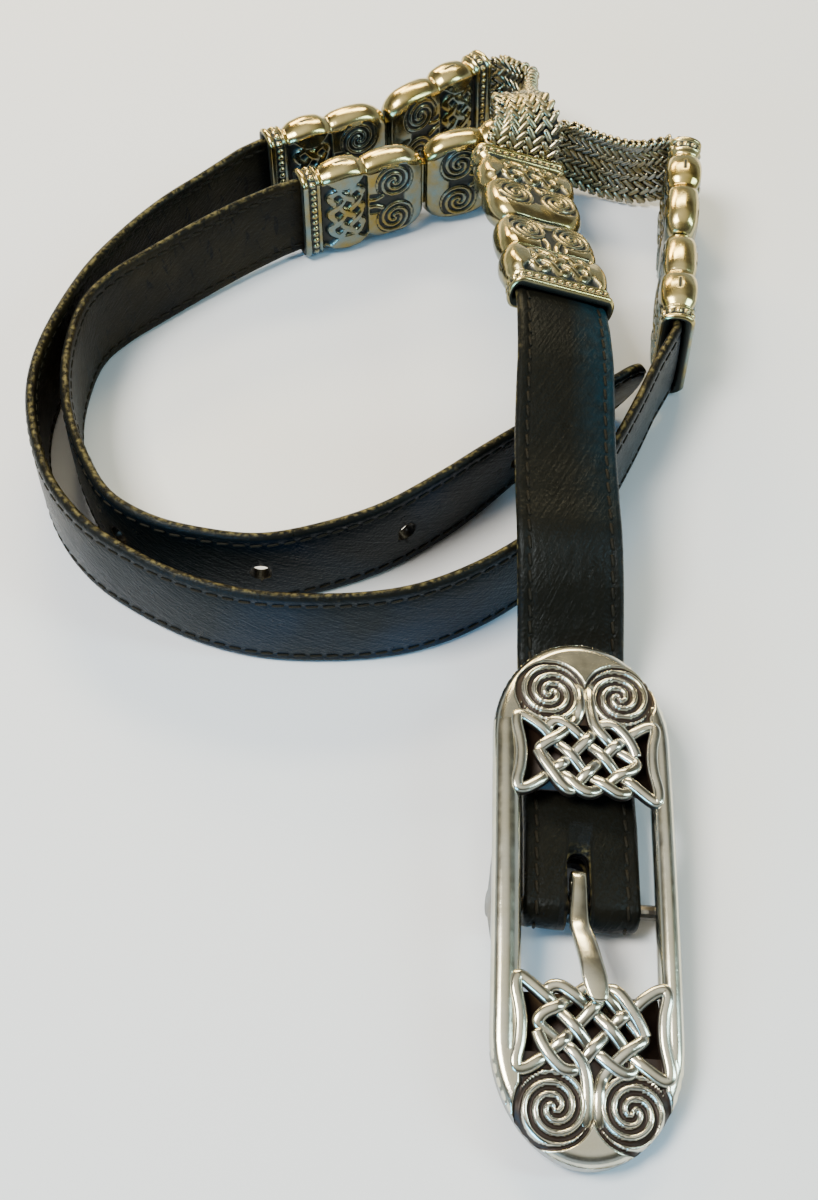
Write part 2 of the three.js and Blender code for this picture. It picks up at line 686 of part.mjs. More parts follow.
// The origin is below the middle of the whole, on the surface it stands on
const whole = new THREE.Box3().setFromObject(belt, true);
const middle = whole.getCenter(new THREE.Vector3());
belt.children.forEach((mesh) => {
  mesh.position.x -= middle.x;
  mesh.position.y -= middle.y;
  mesh.position.z -= whole.min.z;
});

export default belt;
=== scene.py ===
import math
import bpy
import numpy as np
from mathutils import Matrix, Vector


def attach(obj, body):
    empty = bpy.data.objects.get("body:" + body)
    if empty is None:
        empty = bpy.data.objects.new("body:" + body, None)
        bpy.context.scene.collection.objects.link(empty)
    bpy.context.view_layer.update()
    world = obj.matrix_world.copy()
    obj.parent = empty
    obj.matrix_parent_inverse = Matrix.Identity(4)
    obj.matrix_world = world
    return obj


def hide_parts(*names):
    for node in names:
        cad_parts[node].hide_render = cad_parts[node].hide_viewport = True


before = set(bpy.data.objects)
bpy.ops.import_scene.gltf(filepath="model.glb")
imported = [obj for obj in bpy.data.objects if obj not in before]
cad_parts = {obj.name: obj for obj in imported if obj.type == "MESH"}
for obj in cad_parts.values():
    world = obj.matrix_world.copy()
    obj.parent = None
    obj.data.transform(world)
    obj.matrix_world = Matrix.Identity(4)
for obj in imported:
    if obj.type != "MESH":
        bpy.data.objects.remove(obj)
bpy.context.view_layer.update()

# Sizes in millimetres, the same as in the solid model; SHIFT brings its points to the shared frame
MM = 0.001
SHIFT = np.array([0.359, 1.118, 0.019])
STRAP_HALF = 10.0
STRAP_THICK = 2.3
STRAP_IN_POCKET = 5.0
CAP_LENGTH = 30.0
HINGE_GAP = 1.0
CAP_HALF = 11.8
MESH_HALF = 8.5
MESH_THICK = 2.6
HOLE_RADIUS = 2.0
HOLE_SPACING = 29.5
HOLE_COUNT = 5
FIRST_HOLE_FROM_TIP = 26.0
BAR_ALONG = -2.6
BAR_DROP = 5.6
BAR_RADIUS = 1.3
FOLD_RADIUS = BAR_RADIUS + 0.3 + STRAP_THICK / 2
RETURN_LENGTH = 22.0
RETURN_GAP = 1.8
# Spacing of the stations along straps and mesh
STRAP_STEP = 1.2
MESH_STEP = 0.8

# Routes of the straps: x, y, height of the lower edge, lean of the top edge in degrees
STRAP_BACK_ROUTE = [
    (-33.6, 93.4, 1.6, 0), (-41.9, 85.2, 1.0, 0), (-50.2, 77.1, 0.5, 0), (-58.0, 66.9, 0.1, 0),
    (-65.1, 53.9, 0, 0), (-70.6, 36.0, 0, 0), (-72.1, 21.6, 0, 0), (-70.0, 8.0, 0, 0),
    (-65.0, -5.4, 0, 0), (-57.5, -15.9, 0, 0), (-48.2, -23.5, 0, 0), (-36.6, -30.1, 0, 0),
    (-24.0, -34.0, 0, 0), (-10.0, -34.9, 0, 0), (3.2, -33.5, 0, 0), (14.3, -29.3, 0, 0),
    (25.3, -22.2, 0, 0), (34.4, -13.4, 0, 0), (43.0, -1.4, 0, 0), (50.6, 13.4, 0.3, 0),
    (56.4, 26.0, 1.2, 0),
]
STRAP_TIP_ROUTE = [
    (-25.2, 79.6, 1.6, 2), (-33.6, 74.2, 1.0, 4), (-42.3, 67.5, 0.5, 5), (-50.6, 60.4, 0.1, 5),
    (-58.6, 52.7, 0, 4), (-63.6, 45.0, 0, 2), (-65.5, 35.0, 0, 1), (-65.6, 24.0, 0, 0),
    (-63.4, 12.0, 0, 0), (-59.0, 0.6, 0, 0), (-53.3, -9.3, 0, 0), (-44.8, -15.6, 0, 0),
    (-34.8, -19.0, 0, 0), (-23.1, -20.5, 0, 0), (-11.5, -17.9, 0, 0), (0.1, -12.9, 0, 0),
    (11.0, -5.2, 0, 0), (19.6, 2.2, 0, 2), (28.5, 10.2, 0, 8), (38.0, 17.6, 0, 14),
    (46.6, 24.9, 0, 18),
]
# Front strap: x, y, z of its middle and its roll to the right in degrees
STRAP_FRONT_ROUTE = [
    (36.1, 26.5, 30.1, 18), (36.0, 17.0, 29.4, 15), (35.5, 7.0, 27.2, 12), (35.1, -3.0, 24.8, 9),
    (35.0, -13.0, 23.2, 7), (35.0, -22.0, 21.9, 6), (35.0, -29.5, 18.2, 6), (35.0, -36.0, 13.2, 6),
    (34.9, -42.5, 9.3, 6), (34.8, -52.0, 8.3, 6), (34.7, -64.0, 8.2, 6), (34.6, -76.0, 8.3, 6),
]
# Mesh band over the inner caps: left edge x, y, z, right edge x, y, z
MESH_FRONT_EDGES = [
    (22.7, 93.6, 22.8, 39.2, 94.6, 17.6), (24.0, 96.6, 25.4, 40.2, 97.2, 22.4),
    (24.6, 101.0, 26.9, 39.0, 100.4, 26.0), (24.4, 106.0, 26.4, 36.6, 104.8, 26.4),
    (25.0, 111.5, 19.5, 34.6, 110.6, 25.2), (27.6, 117.5, 9.5, 33.9, 117.4, 23.6),
    (31.0, 123.6, 4.6, 33.6, 122.8, 21.8), (28.6, 129.8, 3.3, 29.2, 129.6, 20.4),
]
# Mesh band between the inner and the right caps, given as the straps are
MESH_BACK_ROUTE = [
    (40.8, 105.7, 2.8, 0), (45.2, 105.3, 1.8, 0), (51.5, 102.6, 1.0, 0),
    (58.5, 100.2, 1.0, 0), (63.8, 99.9, 2.0, 0), (67.9, 100.4, 2.9, 0),
]
# Cap pairs: mouth that holds the strap, heading to the hinge and heading past it
STANDING_PAIRS = {
    "outer": (-28.5, 96.7, 25.4, 38.0),
    "inner": (-20.2, 82.0, 23.3, 19.5),
    "right": (61.0, 35.4, 82.5, 82.5),
}
FRONT_PAIR = {"mouth": (35.9, 32.4, 29.5), "heading": 95.7, "slope": -11.3, "roll": 20.0}
BUCKLE_PLACE = {"centre": (34.4, -88.0, 10.9), "yaw": -2.2, "pitch": 6.0, "roll": 6.0}
# Buckle in its own axes: across, along and up from the middle of its rails
BUCKLE_HALF_WIDTH = 15.7
BUCKLE_HALF_LENGTH = 46.0
BUCKLE_END = 20.0
WINDOW_HALF = 11.3
PLATE_HALF_THICK = 1.9
BUCKLE_ARCH = 2.0
KNOT_ALONG = 23.8
# The ornament lies a little to the right of the buckle's middle line and towards its lower end
DECOR_SHIFT = (0.6, -1.2)
# Middle of the prong's blade across, along and up, and its half width
PRONG_PATH = [
    (-0.7, -1.2, -3.4, 1.3), (-0.7, 0.9, -3.6, 1.3), (-0.7, 2.0, -2.8, 1.3), (-0.7, 1.5, -1.8, 1.3),
    (-0.7, -0.4, -1.4, 1.3), (-0.9, -4.4, -1.0, 1.5), (-0.9, -7.4, -0.5, 1.7), (-0.3, -10.6, 0.7, 1.9),
    (0.4, -14.4, 1.75, 2.0), (0.9, -17.4, 2.2, 2.1), (1.3, -20.0, 2.2, 1.7), (1.5, -21.2, 2.1, 0.9),
]
CURL_RADIUS = 2.35
UP = np.array([0.0, 0.0, 1.0])


# Curves and stations


def smooth_rows(rows, steps):
    """Uniform Catmull-Rom samples through the rows, steps samples a row."""
    p = np.array(rows, float)
    q = np.vstack([2 * p[0] - p[1], p, 2 * p[-1] - p[-2]])
    t = np.linspace(0, 1, steps, endpoint=False)[:, None]
    out = []
    for i in range(len(p) - 1):
        p0, p1, p2, p3 = q[i : i + 4]
        m1 = (p2 - p0) * 0.5
        m2 = (p3 - p1) * 0.5
        cubic = (2 * p1 - 2 * p2 + m1 + m2) * t**3
        square = (-3 * p1 + 3 * p2 - 2 * m1 - m2) * t**2
        out.append(cubic + square + m1 * t + p1)
    out.append(p[-1:])
    return np.vstack(out)


def full_turn(count):
    """Angles evenly round a circle."""
    return np.linspace(0, 2 * math.pi, count, endpoint=False)


def arc(u, v, radius, degrees):
    """Points of an arc about a centre."""
    angles = [math.radians(a) for a in degrees]
    return [(u + radius * math.cos(a), v + radius * math.sin(a)) for a in angles]


def unit(v):
    return v / np.maximum(np.linalg.norm(v, axis=-1, keepdims=True), 1e-9)


def turned(v, axis, angle):
    """Vector v turned about a unit axis by an angle in radians."""
    c, s = math.cos(angle), math.sin(angle)
    return v * c + np.cross(axis, v) * s + axis * np.dot(axis, v) * (1 - c)


def way(angle):
    a = math.radians(angle)
    return np.array([math.cos(a), math.sin(a), 0.0])


def cap_pair(mouth, first, second, across):
    """Mouth, heading from it to the hinge, and across direction of a pair's two caps."""
    pin = mouth + first * (CAP_LENGTH + HINGE_GAP / 2)
    far = pin + second * (CAP_LENGTH + HINGE_GAP / 2)
    return {"strap": (mouth, first, across), "mesh": (far, -second, across)}


def all_pairs():
    pairs = {}
    for name, (x, y, first, second) in STANDING_PAIRS.items():
        pairs[name] = cap_pair(np.array([x, y, CAP_HALF]), way(first), way(second), UP)
    slope = math.radians(FRONT_PAIR["slope"])
    along = way(FRONT_PAIR["heading"]) * math.cos(slope) + UP * math.sin(slope)
    across = turned(unit(np.cross(along, UP)), along, math.radians(FRONT_PAIR["roll"]))
    pairs["front"] = cap_pair(np.array(FRONT_PAIR["mouth"]), along, along, across)
    return pairs


PAIRS = all_pairs()


def buckle_matrix():
    place = BUCKLE_PLACE
    turn = Matrix.Rotation(math.radians(place["yaw"]), 3, "Z")
    turn = turn @ Matrix.Rotation(math.radians(place["pitch"]), 3, "X")
    turn = turn @ Matrix.Rotation(math.radians(place["roll"]), 3, "Y")
    return np.array(turn)


BUCKLE_TURN = buckle_matrix()


def from_buckle(points):
    """Buckle coordinates across, along and up to the shared frame."""
    return np.asarray(points, float) @ BUCKLE_TURN.T + np.array(BUCKLE_PLACE["centre"])


def arched(points):
    """Points bent down towards both ends of the buckle."""
    out = np.array(points, float)
    out[:, 2] -= BUCKLE_ARCH * (out[:, 1] / BUCKLE_HALF_LENGTH) ** 2
    return out


class Band:
    """Stations along a strap: middle, across, half width and distance along."""

    def __init__(self, centre, across, half):
        self.centre = np.array(centre, float)
        self.half = np.broadcast_to(np.asarray(half, float), (len(self.centre),))
        step = np.linalg.norm(np.diff(self.centre, axis=0), axis=1)
        self.along = np.concatenate([[0], np.cumsum(step)])
        self.ahead = unit(np.gradient(self.centre, self.along, axis=0))
        self.normal = unit(np.cross(self.ahead, np.array(across, float)))
        self.across = np.cross(self.normal, self.ahead)

    def read(self, rows, s):
        """Rows of a table over the stations, read at distances along."""
        return np.stack([np.interp(s, self.along, rows[:, k]) for k in range(3)], 1)

    def even(self, spacing):
        """The same band with stations at an even spacing."""
        count = max(2, int(round(self.along[-1] / spacing)) + 1)
        s = np.linspace(0, self.along[-1], count)
        half = np.interp(s, self.along, self.half)
        return Band(self.read(self.centre, s), unit(self.read(self.across, s)), half)

    def at(self, s):
        """Middle, ahead, across, normal and half width at distances along."""
        directions = [unit(self.read(rows, s)) for rows in (self.ahead, self.across, self.normal)]
        return self.read(self.centre, s), *directions, np.interp(s, self.along, self.half)


def cap_stations(pair, end, first):
    """Stations inside a cap's pocket and just outside its mouth, with their across directions."""
    mouth, inward, across = PAIRS[pair][end]
    inside = mouth + inward * STRAP_IN_POCKET
    outside = mouth - inward * 1.0
    return ([outside, inside] if first else [inside, outside]), [across, across]


def joined(parts, half):
    """Band through lists of stations with their across directions."""
    return Band(np.vstack([p[0] for p in parts]), np.vstack([p[1] for p in parts]), half)


def standing_stations(route, half, thick, steps):
    """Stations of a band that stands on its lower edge, with their across directions."""
    rows = smooth_rows(route, steps)
    flat = rows[:, :2]
    ahead = np.gradient(flat, axis=0)
    ahead = unit(np.column_stack([ahead, np.zeros(len(ahead))]))
    outward = np.cross(ahead, UP)
    lean = np.radians(rows[:, 3])[:, None]
    across = UP * np.cos(lean) + outward * np.sin(lean)
    height = rows[:, 2] + half * np.cos(lean[:, 0]) + thick / 2 * np.sin(np.abs(lean[:, 0]))
    return np.column_stack([flat, height]), across


def strap_back_band():
    route = standing_stations(STRAP_BACK_ROUTE, STRAP_HALF, STRAP_THICK, 12)
    parts = [cap_stations("outer", "strap", False), route, cap_stations("right", "strap", True)]
    return joined(parts, STRAP_HALF).even(STRAP_STEP)


def strap_tip_band():
    """Strap with a free end, which is rounded off by narrowing stations."""
    route = standing_stations(STRAP_TIP_ROUTE, STRAP_HALF, STRAP_THICK, 12)
    band = joined([cap_stations("inner", "strap", False), route], STRAP_HALF).even(STRAP_STEP)
    angles = np.radians(np.linspace(6, 86, 15))
    tip = band.centre[-1] + np.outer(STRAP_HALF * np.sin(angles), band.ahead[-1])
    sides = np.tile(band.across[-1], (len(tip), 1))
    half = np.concatenate([band.half, STRAP_HALF * np.cos(angles)])
    return joined([(band.centre, band.across), (tip, sides)], half)


def strap_front_band():
    """Strap that comes down to the buckle, turns round the bar and lies back behind it."""
    rows = smooth_rows(STRAP_FRONT_ROUTE, 10)
    roll = np.radians(rows[:, 3])
    across = np.column_stack([np.cos(roll), np.zeros(len(roll)), -np.sin(roll)])
    fold = [(0, v, w) for v, w in arc(BAR_ALONG, -BAR_DROP, FOLD_RADIUS, range(90, 271, 10))]
    low = FOLD_RADIUS - STRAP_THICK - RETURN_GAP - BAR_DROP
    ends = [
        (0, BAR_ALONG + 0.2, -FOLD_RADIUS - BAR_DROP),
        (0, RETURN_LENGTH * 0.3, -FOLD_RADIUS + 0.8 - BAR_DROP),
        (0, RETURN_LENGTH * 0.65, low),
        (0, RETURN_LENGTH, low),
    ]
    turn = from_buckle(np.vstack([fold, smooth_rows(ends, 6)[1:]]))
    sides = np.tile(BUCKLE_TURN @ np.array([1.0, 0, 0]), (len(turn), 1))
    return joined([cap_stations("front", "strap", False), (rows[:, :3], across), (turn, sides)], STRAP_HALF)


def mesh_back_band():
    route = standing_stations(MESH_BACK_ROUTE, MESH_HALF, MESH_THICK, 10)
    parts = [cap_stations("inner", "mesh", False), route, cap_stations("right", "mesh", True)]
    return joined(parts, MESH_HALF).even(MESH_STEP)


def mesh_front_band():
    """Mesh over the inner caps, between its two edges."""
    rows = smooth_rows(MESH_FRONT_EDGES, 10)
    left, right = rows[:, :3], rows[:, 3:]
    half = np.linalg.norm(right - left, axis=1) / 2
    half = np.concatenate([[MESH_HALF] * 2, half, [MESH_HALF] * 2])
    route = (left + right) / 2, unit(right - left)
    parts = [cap_stations("front", "mesh", False), route, cap_stations("outer", "mesh", True)]
    return joined(parts, half).even(MESH_STEP)


# Mesh building


def new_mesh(name, points, faces):
    """Mesh from points in the part's millimetres."""
    mesh = bpy.data.meshes.new(name)
    placed = (np.asarray(points, float) + SHIFT) * MM
    mesh.from_pydata(placed.tolist(), [], [tuple(int(i) for i in f) for f in faces])
    return mesh


def add_object(name, data):
    item = bpy.data.objects.new(name, data)
    bpy.context.scene.collection.objects.link(item)
    return item


def new_piece(name, points, faces, material, body, nodes, values):
    """Smooth object that rides on a body, in place of CAD nodes if it has any."""
    mesh = new_mesh(name, points, faces)
    mesh.validate()
    for key, data in values.items():
        attribute = mesh.attributes.new(key, "FLOAT", "POINT")
        attribute.data.foreach_set("value", np.asarray(data, np.float32))
    mesh.polygons.foreach_set("use_smooth", [True] * len(mesh.polygons))
    mesh.materials.append(material)
    piece = add_object(name, mesh)
    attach(piece, body)
    if nodes:
        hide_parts(*nodes)
    return piece


def ring_faces(rings, count, closed=False, caps=True):
    """Quads between rings of equal count, and end faces if caps is set."""
    i = np.arange(count)
    j = (i + 1) % count
    out = []
    for r in range(rings if closed else rings - 1):
        a = r * count
        b = ((r + 1) % rings) * count
        out.append(np.column_stack([a + i, a + j, b + j, b + i]))
    faces = np.vstack(out).tolist()
    if caps and not closed:
        faces.append(list(range(count))[::-1])
        faces.append([(rings - 1) * count + k for k in range(count)])
    return faces


def flipped(faces, flip=True):
    return [f[::-1] for f in faces] if flip else faces


def swept(centre, across, normal, wide, high):
    """Points of one ring a station: wide is along across and high along normal."""
    ring = centre[:, None, :] + across[:, None, :] * wide[..., None]
    return (ring + normal[:, None, :] * high[..., None]).reshape(-1, 3)


def slanted(ahead, across, degrees):
    """The two directions, turned in their plane."""
    c, s = math.cos(math.radians(degrees)), math.sin(math.radians(degrees))
    return ahead * c + across * s, across * c - ahead * s


class Batch:
    """Points, faces and values of many small solids, gathered into one mesh."""

    def __init__(self):
        self.points = []
        self.faces = []
        self.values = {}
        self.count = 0

    def add(self, points, faces, **values):
        points = np.asarray(points, float)
        start = self.count
        self.points.append(points)
        self.faces.extend([[start + int(k) for k in f] for f in faces])
        for key, data in values.items():
            data = np.broadcast_to(np.asarray(data, float), (len(points),))
            self.values.setdefault(key, []).append(data)
        self.count += len(points)

    def copies(self, template, faces, origins, xs, ys, zs, **values):
        """A copy of the template for each origin and its three axes."""
        t = np.asarray(template, float)
        p = origins[:, None, :] + t[None, :, 0:1] * xs[:, None, :]
        p = p + t[None, :, 1:2] * ys[:, None, :] + t[None, :, 2:3] * zs[:, None, :]
        starts = np.arange(len(origins)) * len(t)
        self.add(p.reshape(-1, 3), [np.array(f) + start for start in starts for f in faces], **values)

    def on_buckle(self, points, faces, cavity):
        """A solid given in the buckle's axes and bent to its arch."""
        self.add(from_buckle(arched(points)), faces, cavity=cavity)

    def piece(self, name, material, body, nodes, slot):
        values = {key: np.concatenate(data) for key, data in self.values.items()}
        points = np.vstack(self.points)
        return new_piece(name, points, self.faces, material, body, nodes, values)


def sausage(length, wide, high, sides, rings):
    """Rounded bar along x, its points and faces."""
    points = []
    for r in range(rings):
        t = -1 + 2 * (r + 0.5) / rings
        x = length / 2 * math.sin(t * math.pi / 2)
        size = max(1 - abs(t) ** 3, 0.0) ** 0.5
        for k in range(sides):
            a = 2 * math.pi * k / sides
            points.append((x, wide / 2 * size * math.cos(a), high / 2 * size * math.sin(a)))
    return points, ring_faces(rings, sides)


def tube(path, wide, high, sides, closed, up, square=1.0):
    """Tube along a path, oval or nearly square in section, flat side towards up."""
    path = np.asarray(path, float)
    if closed:
        ahead = np.roll(path, -1, axis=0) - np.roll(path, 1, axis=0)
    else:
        ahead = np.gradient(path, axis=0)
    ahead = unit(ahead)
    side = unit(np.cross(ahead, up))
    x, y = rounded_square(sides, square, square)
    points = swept(path, side, np.cross(side, ahead), wide / 2 * x[None], -high / 2 * y[None])
    return points, ring_faces(len(path), sides, closed=closed)


def rounded_square(sides, wide_power, high_power):
    """Points round a circle for powers of 1, and round a squarer outline for less."""
    cosine, sine = np.cos(full_turn(sides)), np.sin(full_turn(sides))
    x = np.sign(cosine) * np.abs(cosine) ** wide_power
    return x, np.sign(sine) * np.abs(sine) ** high_power


def cut(piece, cutter_points, cutter_faces):
    """Takes a solid out of the piece and marks the points of the new walls."""
    cutter = add_object("cutter", new_mesh("cutter", cutter_points, cutter_faces))
    change = piece.modifiers.new("cut", "BOOLEAN")
    change.operation = "DIFFERENCE"
    change.solver = "EXACT"
    change.object = cutter
    bpy.context.view_layer.update()
    graph = bpy.context.evaluated_depsgraph_get()
    result = bpy.data.meshes.new_from_object(piece.evaluated_get(graph))
    piece.modifiers.clear()
    before = {tuple(np.round(v.co, 7)) for v in piece.data.vertices}
    new = [float(tuple(np.round(v.co, 7)) not in before) for v in result.vertices]
    result.attributes.new("cut", "FLOAT", "POINT").data.foreach_set("value", new)
    result.name = piece.name
    piece.data = result
    bpy.data.objects.remove(cutter)


# Leather straps

# Right half of the strap's section, face and lining: part of its half width, height over the middle
STRAP_FACE = [
    (0.0, 1.24), (0.2, 1.23), (0.4, 1.20), (0.58, 1.13), (0.68, 1.04), (0.735, 0.93),
    (0.775, 0.86), (0.815, 0.93), (0.87, 1.03), (0.92, 0.98), (0.96, 0.78), (0.985, 0.48), (1.0, 0.12),
]
LINING_FACE = [
    (1.0, -0.2), (0.985, -0.55), (0.96, -0.82), (0.92, -0.98), (0.87, -1.03), (0.815, -0.98),
    (0.775, -0.9), (0.735, -0.98), (0.68, -1.04), (0.58, -1.08), (0.4, -1.1), (0.2, -1.1), (0.0, -1.1),
]
STITCH_ACROSS = 0.775
STITCH_PITCH = 3.1
STITCH_SIZE = (2.35, 0.62, 0.5)
STITCH_SLANT = 7
# Prong's slot in the fold, in the buckle's axes
SLOT_MIDDLE = -0.7
SLOT_HALF_WIDE = 1.9
SLOT_ALONG = (-8.0, 5.8)


def strap_section():
    right = STRAP_FACE + LINING_FACE
    left = [(-a, b) for a, b in reversed(right[1:-1])]
    return np.array(right + left)


def strap_piece(name, band, material):
    section = strap_section()
    wide = band.half[:, None] * section[:, 0]
    thin = np.clip(band.half / STRAP_HALF * 2.2, 0.35, 1.0)
    points = swept(band.centre, band.across, band.normal, wide, thin[:, None] * section[:, 1])
    values = {
        "along": np.repeat(band.along, len(section)),
        "cross": wide.ravel(),
        "side": np.tile(section[:, 1], len(band.centre)),
    }
    faces = flipped(ring_faces(len(band.centre), len(section)))
    return new_piece(name, points, faces, material, "belt", [name], values)


def stitches(name, band, start, before_end, material):
    """Rows of slanting stitches along both edges on both faces."""
    template, faces = sausage(*STITCH_SIZE, 6, 5)
    batch = Batch()
    s = np.arange(start, band.along[-1] - before_end, STITCH_PITCH)
    centre, ahead, across, normal, half = band.at(s)
    x, y = slanted(ahead, across, STITCH_SLANT)
    for side in (-1, 1):
        offset = side * (half - STRAP_HALF * (1 - STITCH_ACROSS))
        for face, depth in ((1, 0.98), (-1, -1.0)):
            origin = centre + across * offset[:, None] + normal * depth
            batch.copies(template, faces, origin, x, y * face, normal * face)
    return batch.piece(name, material, "belt", [], "strap_leather")


def punch_holes(piece, band):
    """Round holes along the middle of the strap, counted from its tip."""
    end = band.along[-1] - STRAP_HALF
    sides = 28
    a = full_turn(sides)
    points, faces = [], []
    for k in range(HOLE_COUNT):
        centre, ahead, across, normal, _ = band.at(np.array([end - FIRST_HOLE_FROM_TIP - k * HOLE_SPACING]))
        ring = (np.outer(np.cos(a), ahead[0]) + np.outer(np.sin(a), across[0])) * HOLE_RADIUS
        points += [centre + ring - normal * 4, centre + ring + normal * 4]
        faces += [[i + 2 * sides * k for i in f] for f in ring_faces(2, sides)]
    cut(piece, np.vstack(points), faces)


def cut_slot(piece):
    """Long round-ended slot where the prong comes through the fold."""
    low, high = SLOT_ALONG
    outline = [(SLOT_MIDDLE - SLOT_HALF_WIDE, low), (SLOT_MIDDLE + SLOT_HALF_WIDE, low)]
    outline += arc(SLOT_MIDDLE, high - SLOT_HALF_WIDE, SLOT_HALF_WIDE, range(0, 181, 15))
    points = [(u, v, w) for w in (-BAR_DROP - 7, -BAR_DROP + 7) for u, v in outline]
    cut(piece, from_buckle(points), ring_faces(2, len(outline)))


# Relief on the metal: heights over a flat face, in millimetres

STRAND_SPACING = 0.16


def plait_samples(columns, rows, cell):
    """Points of a plait's strand, x, y, with its rise and fall at the crossings."""
    wide, high = columns * cell, rows * cell
    x, y, dx, dy = 0.0, cell / 2, 1, 1
    corners = [(x, y)]
    for _ in range(2 * (columns + rows)):
        reach = min(wide - x if dx > 0 else x, high - y if dy > 0 else y)
        x, y = x + dx * reach, y + dy * reach
        corners.append((x, y))
        if abs(x - (wide if dx > 0 else 0)) < 1e-6:
            dx = -dx
        if abs(y - (high if dy > 0 else 0)) < 1e-6:
            dy = -dy
    path = even_path(round_corners(np.array(corners[:-1]), cell * 0.3), STRAND_SPACING)
    ahead = np.roll(path, -1, axis=0) - np.roll(path, 1, axis=0)
    family = np.sign(ahead[:, 0] * ahead[:, 1])
    x, y = path[:, 0], path[:, 1]
    edge = np.minimum(np.minimum(x, wide - x), np.minimum(y, high - y))
    window = np.clip(edge / (cell * 0.3), 0, 1)
    rise = family * np.cos(2 * math.pi * x / cell) * window
    return np.column_stack([x - wide / 2, y - high / 2, rise])


def round_corners(path, reach):
    """Closed path with each corner swept through a short curve."""
    out = []
    n = len(path)
    for i in range(n):
        p, a, b = path[i], path[i - 1], path[(i + 1) % n]
        start = p + unit(a - p) * reach
        end = p + unit(b - p) * reach
        for t in np.linspace(0, 1, 6):
            out.append((1 - t) ** 2 * start + 2 * t * (1 - t) * p + t**2 * end)
    return np.array(out)


def even_path(path, spacing):
    """Points at an even spacing round a closed path."""
    closed = np.vstack([path, path[:1]])
    step = np.linalg.norm(np.diff(closed, axis=0), axis=1)
    s = np.concatenate([[0], np.cumsum(step)])
    t = np.linspace(0, s[-1], int(s[-1] / spacing), endpoint=False)
    return np.column_stack([np.interp(t, s, closed[:, k]) for k in range(2)])


def strand_height(x, y, samples, half_width, swing):
    """Height of rounded strands over the ground they lie on."""
    shape = x.shape
    x, y = x.ravel(), y.ravel()
    best = np.zeros(len(x))
    for start in range(0, len(samples), 60):
        part = samples[start : start + 60]
        d2 = (x[:, None] - part[None, :, 0]) ** 2 + (y[:, None] - part[None, :, 1]) ** 2
        body = np.sqrt(np.clip(1 - d2 / half_width**2, 0, 1))
        inside = d2 < half_width**2
        high = np.where(inside, 0.45 + 0.55 * body + swing * part[None, :, 2], 0)
        best = np.maximum(best, high.max(axis=1))
    return best.reshape(shape)


def spiral_height(x, y, radius, pitch, start=0.0):
    """Two-armed spiral ridges, 1 on the crests and 0 in the grooves, and where their disc is."""
    r = np.hypot(x, y)
    wave = np.cos(2 * math.pi * r / pitch - 2 * np.arctan2(y, x) + start)
    ridge = np.clip((wave + 0.45) / 0.9, 0, 1)
    ridge = ridge * ridge * (3 - 2 * ridge)
    eye = np.clip(r / (0.3 * pitch), 0, 1)
    return 1 - (1 - ridge) * eye, r < radius


def line_height(x, y, points, half_width):
    """Rounded ridge along a short open curve."""
    path = smooth_rows(points, 8)
    best = np.zeros(x.shape)
    for a, b in zip(path[:-1], path[1:]):
        d = b - a
        t = np.clip(((x - a[0]) * d[0] + (y - a[1]) * d[1]) / max(d @ d, 1e-9), 0, 1)
        r2 = (x - a[0] - t * d[0]) ** 2 + (y - a[1] - t * d[1]) ** 2
        best = np.maximum(best, np.sqrt(np.clip(1 - r2 / half_width**2, 0, 1)))
    return best


def ramp(value, low, high):
    t = np.clip((value - low) / (high - low), 0, 1)
    return t * t * (3 - 2 * t)


# Cast end caps

# Along the cap from its mouth, half width and half thickness of the polished body
CAP_BODY = [
    (0.0, 11.1, 3.3), (0.5, 11.5, 3.7), (1.2, 11.4, 3.6), (1.7, 10.9, 3.15), (3.4, 10.9, 3.15),
    (3.9, 11.3, 3.5), (4.4, 10.9, 3.2), (5.0, 10.35, 3.0), (5.8, 10.7, 3.3), (7.2, 11.3, 3.75),
    (10.4, 11.8, 3.95), (13.6, 11.4, 3.8), (15.0, 10.7, 3.4), (15.8, 10.3, 3.15), (16.6, 10.6, 3.3),
    (18.5, 11.1, 3.5), (22.0, 11.3, 3.5), (25.5, 10.95, 3.4), (27.8, 9.95, 3.15), (29.2, 8.8, 2.7),
    (29.8, 8.1, 2.3), (30.0, 7.6, 1.9),
]
CAP_STEP = 0.27
CAP_CORNER = 2.3
BEAD_AT = 2.55
BEAD_RADIUS = 0.78
BEAD_PITCH = 1.72
BEAD_ROW = (1.6, 3.5)
COLLAR_END = 4.2
CAP_PLAIT = {"columns": 2, "rows": 3, "cell": 4.5}
CAP_PLAIT_MIDDLE = 10.4
CAP_PLAIT_DEEP = 0.95
CAP_STRAND_HALF = 0.92
CAP_STRAND_SWING = 0.3
CAP_WAIST = 15.9
CAP_GROUND_DEEP = 0.5
CAP_SPIRAL_AT = (22.3, 5.1)
CAP_SPIRAL_RADIUS = 4.55
CAP_SPIRAL_PITCH = 1.5
CAP_SPIRAL_DEEP = 0.55
CAP_STEM = [(19.2, 1.6), (17.4, 0.9), (15.2, 1.3), (13.8, 2.4)]
CAP_STEM_HALF = 0.62
# Slit on the narrow sides: place along the cap, half length, half width and depth
SLIT_AT, SLIT_LONG, SLIT_WIDE, SLIT_DEEP = 10.6, 1.9, 0.62, 0.1
# Pocket behind the mouth, from its floor outwards: along, half width, half thickness
CAP_POCKET = [(6.0, 10.3, 1.5), (0.6, 10.3, 1.5), (0.0, 10.6, 1.9), (-0.05, 10.85, 2.6)]


